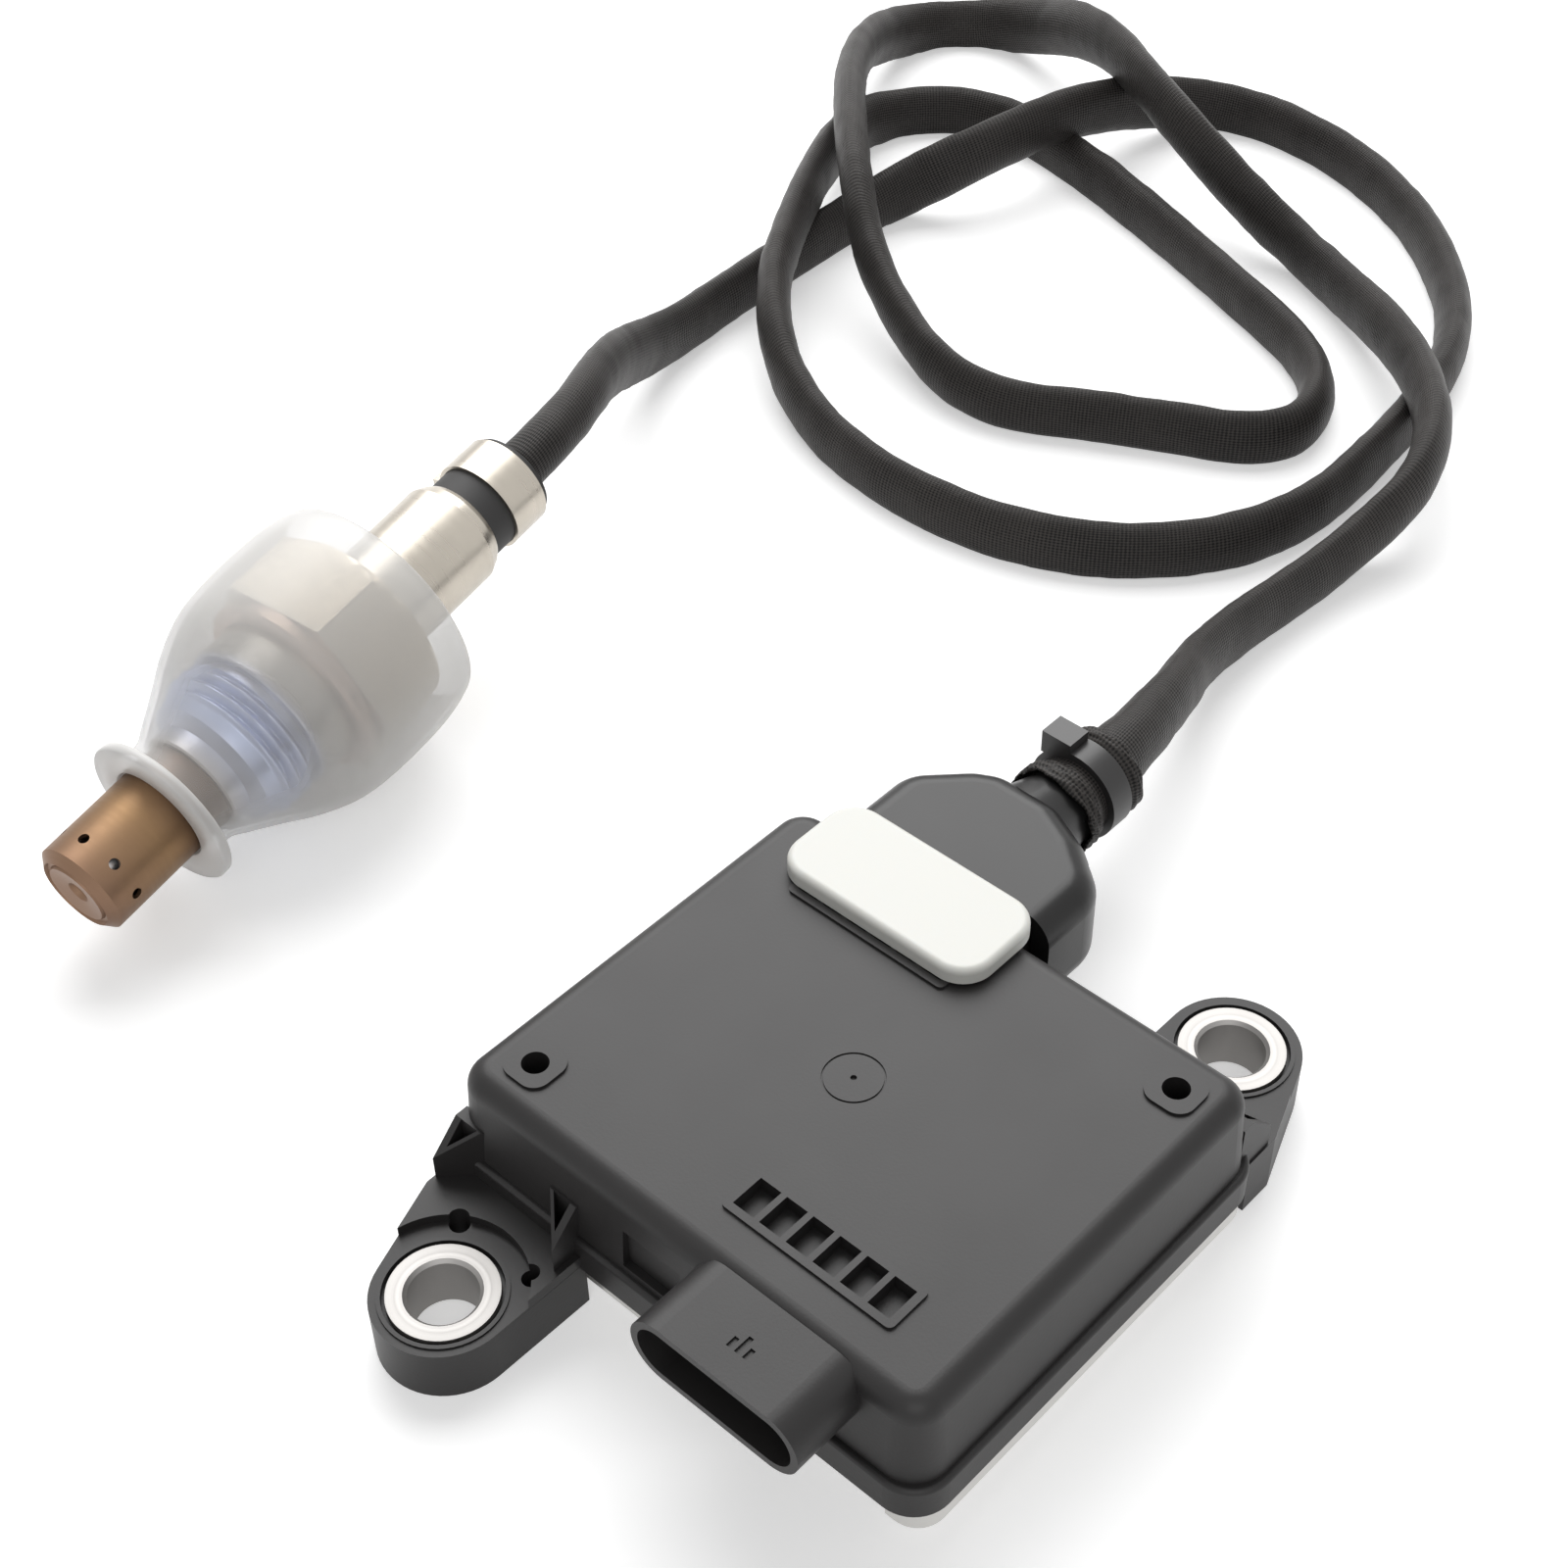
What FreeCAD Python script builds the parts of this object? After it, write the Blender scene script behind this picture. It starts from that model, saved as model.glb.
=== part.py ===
import FreeCAD, Part
import math
import os
import Sketcher
from FreeCAD import Placement, Rotation, Vector

# Nitrogen oxide sensor: control module, cable and exhaust probe, in millimetres.
# X runs to the module's right, Y from its connector to its cable, Z up from the surface it lies on.
# The origin is under the middle of the module.

doc = FreeCAD.newDocument("nitrogen_oxide_sensor")
sheet = doc.addObject("Spreadsheet::Sheet", "Sizes")

SIZES = {
    # module box
    "body_length": 55.0,
    "body_width": 46.4,
    "top_level": 18.8,
    "lip_top": 8.9,
    "lip_bottom": 5.2,
    "draft": 0.6,
    "lip_step": 0.7,
    "corner_round": 3.0,
    "top_round": 2.2,
    "lip_round": 0.5,
    "top_wall": 2.4,
    "side_wall": 3.5,
    "ledge_width": 1.4,
    # ears with their sleeves
    "ear_inset": 9.7,
    "ear_reach": 11.7,
    "ear_ring": 6.75,
    "ear_level": 6.0,
    "collar_rise": 0.2,
    "collar_round": 6.0,
    "ring_groove": 0.4,
    "groove_depth": 0.8,
    "sleeve_outer": 5.2,
    "sleeve_bore": 3.3,
    "sleeve_gap": 0.05,
    "sleeve_chamfer": 0.35,
    "arm_left": 27.5,
    "arm_right": 10.9,
    "arm_reach": 28.0,
    "arm_level": 7.0,
    "step_arc": 7.9,
    "drain_hole": 1.0,
    "key_hole": 0.9,
    "gusset_left": 27.3,
    "gusset_right": 11.6,
    "gusset_side": 3.9,
    "gusset_wall": 0.75,
    "gusset_level": 13.0,
    "gusset_floor": 2.0,
    # vents, pads and gate mark on the top
    "vent_start": 1.6,
    "vent_front": 17.4,
    "vent_cell_width": 2.4,
    "vent_cell_length": 3.55,
    "vent_pitch": 3.05,
    "vent_depth": 1.6,
    "frame_edge": 0.8,
    "frame_rise": 0.3,
    "frame_round": 0.6,
    "pad_inset": 5.25,
    "pad_size": 5.1,
    "pad_round": 1.7,
    "pad_hole": 1.3,
    "pad_hole_depth": 3.5,
    "gate_mark": 2.95,
    "gate_depth": 0.15,
    "gate_dimple": 0.3,
    "boss_round": 3.4,
    # connector socket and pins
    "socket_centre": 11.85,
    "socket_width": 18.9,
    "socket_height": 6.9,
    "socket_reach": 7.65,
    "socket_setback": 4.0,
    "socket_wall": 0.8,
    "leg_clearance": 1.4,
    "pin_pitch": 3.0,
    "pin_width": 1.0,
    "pin_thick": 0.6,
    "pin_reach": 3.0,
    "leg_setback": 8.6,
    "pin_below": 0.8,
    "pin_gap": 0.05,
    "mark_across": 12.0,
    "mark_setback": 2.8,
    "mark_pitch": 0.9,
    "mark_width": 0.5,
    "mark_length": 1.9,
    "mark_depth": 0.25,
    "panel_left": 6.0,
    "panel_right": 1.0,
    "panel_low": 9.6,
    "panel_high": 14.3,
    "panel_depth": 0.3,
    # rear neck, boot, lock plate
    "neck_left": 20.7,
    "neck_right": 0.7,
    "neck_top": 16.8,
    "neck_reach": 7.8,
    "neck_wall": 1.6,
    "neck_round": 1.5,
    "boot_gap": 0.3,
    "boot_left": 23.2,
    "boot_right": 1.8,
    "boot_gap_front": 2.8,
    "boot_reach": 15.8,
    "boot_bottom": 7.0,
    "boot_wall": 2.0,
    "boot_corner": 5.0,
    "boot_edge": 3.0,
    "spigot_across": 11.5,
    "spigot_level": 12.6,
    "spigot_radius": 4.4,
    "spigot_reach": 27.3,
    "spigot_bore": 3.4,
    "spigot_root": 6.0,
    "spigot_root_reach": 19.3,
    "plate_left": 22.8,
    "plate_right": 1.5,
    "plate_lap": 9.2,
    "plate_reach": 2.3,
    "plate_thick": 1.8,
    "plate_corner": 3.5,
    "plate_edge": 0.7,
    "plate_leg": 0.9,
    "plate_leg_width": 5.0,
    "tie_reach": 23.8,
    "tie_width": 3.0,
    "tie_thick": 0.85,
    "tie_head": 3.6,
    # inside the module
    "base_thick": 2.6,
    "base_inset": 0.4,
    "base_notch": 2.0,
    "base_notch_start": 1.0,
    "base_bar": 1.4,
    "base_clearance": 0.4,
    "screw_head": 2.4,
    "screw_shank": 1.25,
    "screw_length": 9.0,
    "gasket_inset": 1.1,
    "gasket_width": 1.2,
    "gasket_height": 0.8,
    "board_thick": 1.6,
    "board_level": 7.6,
    "board_clearance": 0.3,
    "processor_size": 12.0,
    "processor_thick": 1.6,
    "driver_size": 9.0,
    "driver_thick": 1.4,
    "capacitor_radius": 3.1,
    "capacitor_height": 5.4,
    "crystal_length": 5.0,
    "crystal_width": 3.2,
    "crystal_height": 1.2,
    "lead_count_pitch": 2.6,
    "lead_radius": 0.7,
    "lead_setback": 9.4,
    "lead_bundle": 1.9,
    "terminal_width": 1.4,
    "terminal_thick": 0.5,
    "seal_reach": 1.3,
    "seal_length": 4.0,
    "seal_gap": 0.05,
    # probe, measured along its axis from the front of the cap's flange
    "probe_x": -80.9,
    "probe_y": -16.99,
    "probe_z": 10.97,
    "probe_heading": 96.0,
    "probe_rise": 8.7,
    "shield_radius": 5.4,
    "shield_wall": 0.5,
    "shield_front": -11.8,
    "shield_round": 1.0,
    "shield_back": 6.95,
    "shield_hole": 0.6,
    "shield_hole_at": -8.2,
    "inner_shield_radius": 3.9,
    "inner_shield_wall": 0.4,
    "inner_shield_front": -9.8,
    "nose_radius": 6.1,
    "nose_front": 5.2,
    "core_front": 7.0,
    "thread_radius": 8.95,
    "thread_start": 9.8,
    "thread_end": 14.2,
    "thread_relief": 1.0,
    "collar_radius": 9.1,
    "hex_across_flats": 22.0,
    "hex_start": 22.0,
    "hex_end": 32.0,
    "ring_outer": 11.0,
    "ring_thick": 1.8,
    "bore_radius": 4.65,
    "boss_end": 35.5,
    "core_gap": 0.05,
    "strip_width": 4.0,
    "strip_thick": 1.4,
    "strip_front": -8.8,
    "strip_back": 41.0,
    "shell_radius": 6.35,
    "shell_wall": 0.6,
    "shell_end": 48.7,
    "shell_round": 1.8,
    "holder_start": 36.0,
    "holder_end": 46.0,
    "grommet_radius": 5.2,
    "grommet_end": 58.5,
    "clamp_start": 52.0,
    "clamp_width": 5.0,
    "clamp_wall": 0.4,
    "clamp_ear": 3.0,
    "cap_flange": 9.0,
    "cap_flange_start": 0.3,
    "cap_flange_thick": 1.3,
    "cap_neck": 6.8,
    "cap_neck_end": 4.5,
    "cap_shoulder": 12.0,
    "cap_shoulder_at": 13.5,
    "cap_bulge": 14.4,
    "cap_bulge_at": 22.5,
    "cap_rim": 13.4,
    "cap_end": 34.5,
    "cap_wall": 0.7,
    "cap_grip": 0.25,
    # cable
    "cable_radius": 3.0,
}

for row, (alias, value) in enumerate(SIZES.items(), start=1):
    sheet.set(f"A{row}", alias)
    sheet.set(f"B{row}", str(value))
    sheet.setAlias(f"B{row}", alias)
doc.recompute()

LEADS = 6
PINS = 5
VENT_CELLS = 6
SHIELD_HOLES = 8


class Size:
    """A length together with the sheet expression that gives it."""

    def __init__(self, value, text):
        self.value = value
        self.text = text

    def combine(self, other, sign, value):
        other_text = other.text if isinstance(other, Size) else str(other)
        return Size(value, f"({self.text} {sign} {other_text})")

    def __float__(self):
        return float(self.value)

    def __add__(self, other):
        return self.combine(other, "+", self.value + float(other))

    def __sub__(self, other):
        return self.combine(other, "-", self.value - float(other))

    def __mul__(self, other):
        return self.combine(other, "*", self.value * float(other))

    def __truediv__(self, other):
        return self.combine(other, "/", self.value / float(other))

    def __neg__(self):
        return Size(-self.value, f"(-1 * {self.text})")


def size(alias):
    return Size(float(sheet.get(alias)), f"{sheet.Name}.{alias}")


def bind(target, path, amount):
    """Tie a property or a constraint to the sheet, or set it where it is a plain number."""
    if isinstance(amount, Size):
        target.setExpression(path, amount.text)
    elif path.startswith("Constraints"):
        return
    else:
        setattr(target, path, amount)


def new_body(name):
    body = doc.addObject("PartDesign::Body", name)
    body.Label = name
    return body


def new_sketch(body, name, role, offset=0):
    """Sketch on one of the body's own origin planes, moved along the plane's normal."""
    sketch = body.newObject("Sketcher::SketchObject", f"{body.Name}_{name}")
    plane = [feature for feature in body.Origin.OriginFeatures if feature.Role == role][0]
    sketch.AttachmentSupport = [(plane, "")]
    sketch.MapMode = "FlatFace"
    if isinstance(offset, Size):
        sketch.setExpression("AttachmentOffset.Base.z", offset.text)
    else:
        sketch.AttachmentOffset = Placement(Vector(0, 0, offset), Rotation())
    return sketch


def constrain(sketch, kind, places, amount):
    index = sketch.addConstraint(Sketcher.Constraint(kind, *places, float(amount)))
    bind(sketch, f"Constraints[{index}]", amount)


def draw_polygon(sketch, points):
    """Closed outline of straight lines, each corner placed from the sketch's origin."""
    first = sketch.GeometryCount
    count = len(points)
    corners = [Vector(float(x), float(y), 0) for x, y in points]
    for index in range(count):
        sketch.addGeometry(Part.LineSegment(corners[index], corners[(index + 1) % count]))
    for index in range(count):
        following = first + (index + 1) % count
        sketch.addConstraint(Sketcher.Constraint("Coincident", first + index, 2, following, 1))
    for index, (x, y) in enumerate(points):
        constrain(sketch, "DistanceX", (first + index, 1), x)
        constrain(sketch, "DistanceY", (first + index, 1), y)


def draw_rectangle(sketch, left, right, bottom, top):
    draw_polygon(sketch, [(left, bottom), (right, bottom), (right, top), (left, top)])


def draw_rounded_rectangle(sketch, left, right, bottom, top, corner):
    """Rectangle with tangent corner arcs."""
    first = sketch.GeometryCount
    x0, x1, y0, y1, r = (float(v) for v in (left, right, bottom, top, corner))
    ends = [
        ((x0 + r, y0), (x1 - r, y0)),
        ((x1, y0 + r), (x1, y1 - r)),
        ((x1 - r, y1), (x0 + r, y1)),
        ((x0, y1 - r), (x0, y0 + r)),
    ]
    centres = [(right - corner, bottom + corner), (right - corner, top - corner),
               (left + corner, top - corner), (left + corner, bottom + corner)]
    for start, end in ends:
        sketch.addGeometry(Part.LineSegment(Vector(*start, 0), Vector(*end, 0)))
    for index, (x, y) in enumerate(centres):
        circle = Part.Circle(Vector(float(x), float(y), 0), Vector(0, 0, 1), r)
        turn = (index - 1) * math.pi / 2
        sketch.addGeometry(Part.ArcOfCircle(circle, turn, turn + math.pi / 2))
    for index, (x, y) in enumerate(centres):
        arc = first + 4 + index
        sketch.addConstraint(Sketcher.Constraint("Tangent", first + index, 2, arc, 1))
        sketch.addConstraint(Sketcher.Constraint("Tangent", arc, 2, first + (index + 1) % 4, 1))
        constrain(sketch, "DistanceX", (arc, 3), x)
        constrain(sketch, "DistanceY", (arc, 3), y)
        constrain(sketch, "Radius", (arc,), corner)


def draw_circle(sketch, x, y, radius):
    centre = Vector(float(x), float(y), 0)
    index = sketch.addGeometry(Part.Circle(centre, Vector(0, 0, 1), float(radius)))
    constrain(sketch, "DistanceX", (index, 3), x)
    constrain(sketch, "DistanceY", (index, 3), y)
    constrain(sketch, "Radius", (index,), radius)


def extrude(body, sketch, kind, length, reverse=False):
    """Pad along the sketch's normal or pocket against it, unless it is reversed."""
    feature = body.newObject(f"PartDesign::{kind}", f"{sketch.Name}_{kind.lower()}")
    feature.Profile = sketch
    bind(feature, "Length", length)
    feature.Reversed = reverse
    return feature


def revolve(body, sketch, kind="Revolution", axis="V_Axis"):
    feature = body.newObject(f"PartDesign::{kind}", f"{sketch.Name}_{kind.lower()}")
    feature.Profile = sketch
    feature.ReferenceAxis = (sketch, [axis])
    feature.Angle = 360
    return feature


def polar_pattern(body, originals, count):
    """Copies about the body's Z axis."""
    pattern = body.newObject("PartDesign::PolarPattern", f"{body.Name}_pattern")
    axis = [feature for feature in body.Origin.OriginFeatures if feature.Role == "Z_Axis"][0]
    pattern.Originals = originals
    pattern.Axis = (axis, [""])
    pattern.Angle = 360
    pattern.Occurrences = count
    body.Tip = pattern
    return pattern


def fillet(body, radius, name, wanted):
    """Round the edges of the body's tip for which wanted is true."""
    feature = dress(body, "Fillet", name, wanted)
    bind(feature, "Radius", radius)


def chamfer(body, amount, name, wanted):
    """Bevel the edges of the body's tip for which wanted is true."""
    feature = dress(body, "Chamfer", name, wanted)
    bind(feature, "Size", amount)


def dress(body, kind, name, wanted):
    doc.recompute()
    base = body.Tip
    edges = [f"Edge{i}" for i, edge in enumerate(base.Shape.Edges, start=1) if wanted(edge)]
    feature = body.newObject(f"PartDesign::{kind}", f"{body.Name}_{name}")
    feature.Base = (base, edges)
    body.Tip = feature
    return feature


def lies_at(level, edge):
    """True for an edge that lies wholly at one height."""
    box = edge.BoundBox
    return abs(box.ZMin - float(level)) < 0.01 and abs(box.ZMax - float(level)) < 0.01


def tangent_point(x, y, centre_x, centre_y, radius, side):
    """Where the line from a point touches a circle, on its left (1) or its right (-1)."""
    away_x = centre_x - x
    away_y = centre_y - y
    distance = math.hypot(away_x, away_y)
    turn = math.atan2(away_y, away_x) - side * math.asin(radius / distance)
    reach = math.sqrt(distance ** 2 - radius ** 2)
    return x + reach * math.cos(turn), y + reach * math.sin(turn)


HALF_X = size("body_length") / 2
HALF_Y = size("body_width") / 2
DRAFT_X = HALF_X + size("draft")
DRAFT_Y = HALF_Y + size("draft")
LIP_X = DRAFT_X + size("lip_step")
LIP_Y = DRAFT_Y + size("lip_step")
EAR_X = size("ear_inset") - HALF_X
EAR_Y = -HALF_Y - size("ear_reach")
BOARD_TOP = size("board_level") + size("board_thick")
CEILING = size("top_level") - size("top_wall")
PAD_X = HALF_X - size("pad_inset")
PAD_Y = HALF_Y - size("pad_inset")
CAVITY_X = HALF_X - size("side_wall")
CAVITY_Y = HALF_Y - size("side_wall")
LOWER_X = CAVITY_X + size("ledge_width")
LOWER_Y = CAVITY_Y + size("ledge_width")
ARM_ROOT = -HALF_Y + 0.8
BASE_EDGE_Y = LIP_Y - size("base_inset") - 0.5
NECK_END = HALF_Y + size("neck_reach")
BOOT_FRONT = HALF_Y + size("boot_gap_front")
BOOT_BACK = HALF_Y + size("boot_reach")
SPIGOT_END = HALF_Y + size("spigot_reach")
SPIGOT_ROOT_END = HALF_Y + size("spigot_root_reach")
PLATE_FRONT = HALF_Y - size("plate_lap")
PLATE_BACK = HALF_Y + size("plate_reach")
TIE_START = HALF_Y + size("tie_reach")
SEAL_START = HALF_Y + size("seal_reach")
LEAD_START = HALF_Y - size("lead_setback")
SOCKET_MOUTH = HALF_Y + size("socket_reach")
SOCKET_FLOOR = HALF_Y - size("socket_setback")
PIN_TIP = HALF_Y + size("pin_reach")
PIN_LEG = HALF_Y - size("leg_setback")
BLOCK_FACE = PIN_LEG + size("leg_clearance")
SOCKET_LOW = size("top_level") - size("socket_height")
SOCKET_MIDDLE = size("top_level") - size("socket_height") / 2
PLATE_BOTTOM = size("top_level") + size("frame_rise")
NECK_LOW = size("lip_top")


def build_box(body):
    """Drafted box on a lip, hollow from below in two steps."""
    lip = new_sketch(body, "lip", "XY_Plane", size("lip_bottom"))
    draw_rounded_rectangle(lip, -LIP_X, LIP_X, -LIP_Y, LIP_Y, size("corner_round") + 1)
    extrude(body, lip, "Pad", size("lip_top") - size("lip_bottom"))
    foot = new_sketch(body, "foot", "XY_Plane", size("lip_top"))
    draw_rounded_rectangle(foot, -DRAFT_X, DRAFT_X, -DRAFT_Y, DRAFT_Y, size("corner_round") + size("draft"))
    top = new_sketch(body, "top", "XY_Plane", size("top_level"))
    draw_rounded_rectangle(top, -HALF_X, HALF_X, -HALF_Y, HALF_Y, size("corner_round"))
    loft = body.newObject("PartDesign::AdditiveLoft", "housing_walls")
    loft.Profile = foot
    loft.Sections = [top]
    loft.Ruled = True
    fillet(body, size("top_round"), "top_fillet", lambda edge: lies_at(size("top_level"), edge))
    fillet(body, size("lip_round"), "lip_fillet",
           lambda edge: lies_at(size("lip_top"), edge) and reaches(edge, LIP_X, LIP_Y))
    lower = new_sketch(body, "lower_cavity", "XY_Plane", size("lip_bottom"))
    draw_rounded_rectangle(lower, -LOWER_X, LOWER_X, -LOWER_Y, LOWER_Y, size("corner_round"))
    extrude(body, lower, "Pocket", BOARD_TOP - size("lip_bottom"), True)
    upper = new_sketch(body, "upper_cavity", "XY_Plane", size("lip_bottom"))
    draw_rounded_rectangle(upper, -CAVITY_X, CAVITY_X, -CAVITY_Y, CAVITY_Y, size("corner_round"))
    extrude(body, upper, "Pocket", CEILING - size("lip_bottom"), True)


def reaches(edge, half_x, half_y):
    """True for an edge on the outer boundary of a rectangle about the origin."""
    box = edge.BoundBox
    far_x = max(abs(box.XMin), abs(box.XMax))
    far_y = max(abs(box.YMin), abs(box.YMax))
    return far_x > float(half_x) - 0.01 or far_y > float(half_y) - 0.01


def draw_gasket(sketch):
    for inset in (size("gasket_inset"), size("gasket_inset") + size("gasket_width")):
        x = LIP_X - inset
        y = LIP_Y - inset
        draw_rounded_rectangle(sketch, -x, x, -y, y, size("corner_round"))


def boss_centres():
    across = PAD_X
    along = PAD_Y
    return [(across, along), (across, -along), (-across, along), (-across, -along)]


def build_bosses(body):
    """Posts in the corners that take the screws of the base plate."""
    posts = new_sketch(body, "bosses", "XY_Plane", size("lip_bottom"))
    for x, y in boss_centres():
        draw_circle(posts, x, y, size("boss_round"))
    extrude(body, posts, "Pad", CEILING + 0.5 - size("lip_bottom"))


def build_underside(body):
    """Screw holes in the posts and the gasket's groove in the lip."""
    holes = new_sketch(body, "screw_holes", "XY_Plane", size("lip_bottom"))
    for x, y in boss_centres():
        draw_circle(holes, x, y, size("screw_shank") + 0.05)
    extrude(body, holes, "Pocket", size("screw_length") - size("base_thick") + 0.5, True)
    groove = new_sketch(body, "gasket_groove", "XY_Plane", size("lip_bottom"))
    draw_gasket(groove)
    extrude(body, groove, "Pocket", size("gasket_height"), True)


def build_socket(body):
    """Connector shroud on the front wall, with its floor and the slots of the blades."""
    x = size("socket_centre")
    wide = size("socket_width") / 2
    mouth = new_sketch(body, "shroud", "XZ_Plane", SOCKET_MOUTH)
    draw_rounded_rectangle(mouth, x - wide, x + wide, SOCKET_LOW, size("top_level"),
                           size("socket_height") / 2 - 0.05)
    extrude(body, mouth, "Pad", SOCKET_MOUTH + ARM_ROOT, True)
    block = new_sketch(body, "socket_block", "XZ_Plane", BLOCK_FACE)
    draw_rectangle(block, x - wide, x + wide, BOARD_TOP + 1, CEILING + 0.5)
    extrude(body, block, "Pad", CAVITY_Y + 0.5 - BLOCK_FACE)
    inside = new_sketch(body, "socket", "XZ_Plane", SOCKET_MOUTH)
    wall = size("socket_wall")
    draw_rounded_rectangle(inside, x - wide + wall, x + wide - wall, SOCKET_LOW + wall,
                           size("top_level") - wall, size("socket_height") / 2 - wall - 0.05)
    extrude(body, inside, "Pocket", SOCKET_MOUTH - SOCKET_FLOOR)
    slots = new_sketch(body, "pin_slots", "XZ_Plane", SOCKET_FLOOR)
    gap = size("pin_gap")
    for pin_x in pin_places():
        draw_rectangle(slots, pin_x - size("pin_width") / 2 - gap, pin_x + size("pin_width") / 2 + gap,
                       SOCKET_MIDDLE - size("pin_thick") / 2 - gap,
                       SOCKET_MIDDLE + size("pin_thick") / 2 + gap)
    extrude(body, slots, "Pocket", SOCKET_FLOOR - BLOCK_FACE)


def build_front_marks(body):
    """Three notches in the top of the shroud and a shallow panel in the wall beside it."""
    notches = new_sketch(body, "shroud_marks", "XY_Plane", size("top_level"))
    back = size("mark_setback") - SOCKET_MOUTH
    for step in range(3):
        left = size("mark_across") + size("mark_pitch") * (step - 1) - size("mark_width") / 2
        length = size("mark_length") if step == 1 else size("mark_length") * 0.6
        draw_rectangle(notches, left, left + size("mark_width"), back, back + length)
    extrude(body, notches, "Pocket", size("mark_depth"))
    panel = new_sketch(body, "front_panel", "XZ_Plane", DRAFT_Y + 0.1)
    draw_rectangle(panel, -size("panel_left"), size("panel_right"), size("panel_low"), size("panel_high"))
    extrude(body, panel, "Pocket", size("draft") + size("panel_depth") + 0.1)


def pin_places():
    middle = (PINS - 1) / 2
    return [size("socket_centre") + size("pin_pitch") * (index - middle) for index in range(PINS)]


def build_neck(body):
    """Short tube on the rear wall that carries the boot and lets the leads out."""
    end = -NECK_END
    outer = new_sketch(body, "neck", "XZ_Plane", end)
    draw_rounded_rectangle(outer, -size("neck_left"), -size("neck_right"), NECK_LOW, size("neck_top"),
                           size("neck_round"))
    extrude(body, outer, "Pad", NECK_END - HALF_Y + 0.8)
    inner = new_sketch(body, "neck_bore", "XZ_Plane", end)
    wall = size("neck_wall")
    draw_rectangle(inner, wall - size("neck_left"), -size("neck_right") - wall, NECK_LOW + wall,
                   size("neck_top") - wall)
    extrude(body, inner, "Pocket", NECK_END - CAVITY_Y + 0.5, True)


def ear_arm_points(root):
    """Plan outline of an ear's arm: straight flanks that touch the ring."""
    ring = (float(EAR_X), float(EAR_Y), float(size("ear_ring")))
    left = (-float(size("arm_left")), -float(size("arm_reach")))
    right = (-float(size("arm_right")), float(root))
    left_touch = tangent_point(*left, *ring, 1)
    right_touch = tangent_point(*right, *ring, -1)
    return [(-size("arm_left"), root), (-size("arm_left"), -size("arm_reach")), left_touch,
            (EAR_X, EAR_Y), right_touch, (-size("arm_right"), root)]


def build_ears(body):
    """Front ear with its two hollow gussets, and its copy half a turn round at the rear."""
    made = []
    low = new_sketch(body, "arm_low", "XY_Plane")
    draw_polygon(low, ear_arm_points(-BASE_EDGE_Y - 0.4))
    made.append(extrude(body, low, "Pad", size("lip_bottom") + 0.5))
    high = new_sketch(body, "arm_high", "XY_Plane", size("lip_bottom"))
    draw_polygon(high, ear_arm_points(ARM_ROOT))
    made.append(extrude(body, high, "Pad", size("arm_level") - size("lip_bottom")))
    step = new_sketch(body, "step", "XY_Plane", size("arm_level") + 0.5)
    draw_circle(step, EAR_X, EAR_Y, size("step_arc"))
    made.append(extrude(body, step, "Pocket", size("arm_level") + 0.5 - size("ear_level")))
    for name, radius, level in (("ring", size("ear_ring"), size("ear_level")),
                                ("collar", size("collar_round"), size("ear_level") + size("collar_rise"))):
        disc = new_sketch(body, name, "XY_Plane")
        draw_circle(disc, EAR_X, EAR_Y, radius)
        made.append(extrude(body, disc, "Pad", level))
    made += build_gussets(body)
    level = size("ear_level") + size("collar_rise")
    for name, radius, depth in (("ear_bore", size("sleeve_outer") + size("sleeve_gap"), level),
                                ("ear_groove", size("sleeve_outer") + size("ring_groove"),
                                 size("groove_depth"))):
        disc = new_sketch(body, name, "XY_Plane", level)
        draw_circle(disc, EAR_X, EAR_Y, radius)
        made.append(extrude(body, disc, "Pocket", depth))
    drain = new_sketch(body, "drain", "XY_Plane", size("arm_level"))
    draw_circle(drain, EAR_X - 4.5, EAR_Y + 6.1, size("drain_hole"))
    made.append(extrude(body, drain, "Pocket", size("arm_level") + 0.5))
    key = new_sketch(body, "key", "XY_Plane", size("arm_level"))
    draw_circle(key, EAR_X + 4.7, EAR_Y + 6.3, size("key_hole"))
    made.append(extrude(body, key, "Pocket", size("arm_level") / 2))
    body.Tip = made[-1]
    polar_pattern(body, made, 2)


def build_gussets(body):
    """Two hollow triangular posts whose tops slope down away from the wall."""
    posts = new_sketch(body, "gussets", "XY_Plane", size("lip_bottom"))
    side = size("gusset_side")
    wall = size("gusset_wall")
    left = -size("gusset_left")
    right = -size("gusset_right")
    draw_polygon(posts, [(left, ARM_ROOT), (left + side + 0.8, ARM_ROOT), (left, ARM_ROOT - side - 0.8)])
    draw_polygon(posts, [(right, ARM_ROOT), (right, ARM_ROOT - side - 0.8), (right - side - 0.8, ARM_ROOT)])
    pad = extrude(body, posts, "Pad", size("gusset_level") - size("lip_bottom"))
    face = -DRAFT_Y
    slope = new_sketch(body, "gusset_slope", "YZ_Plane", -size("gusset_right") + 1)
    draw_polygon(slope, [(face, size("gusset_level")), (face - side, size("gusset_level") - side),
                         (face - side, size("gusset_level") + 1), (face, size("gusset_level") + 1)])
    cut = extrude(body, slope, "Pocket", size("gusset_left") - size("gusset_right") + 2)
    holes = new_sketch(body, "gusset_holes", "XY_Plane", size("gusset_level"))
    reach = side - wall * 2.4
    draw_polygon(holes, [(left + wall, face), (left + wall + reach, face), (left + wall, face - reach)])
    draw_polygon(holes, [(right - wall, face), (right - wall, face - reach), (right - wall - reach, face)])
    hollow = extrude(body, holes, "Pocket", size("gusset_level") - size("gusset_floor"))
    return [pad, cut, hollow]


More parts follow.
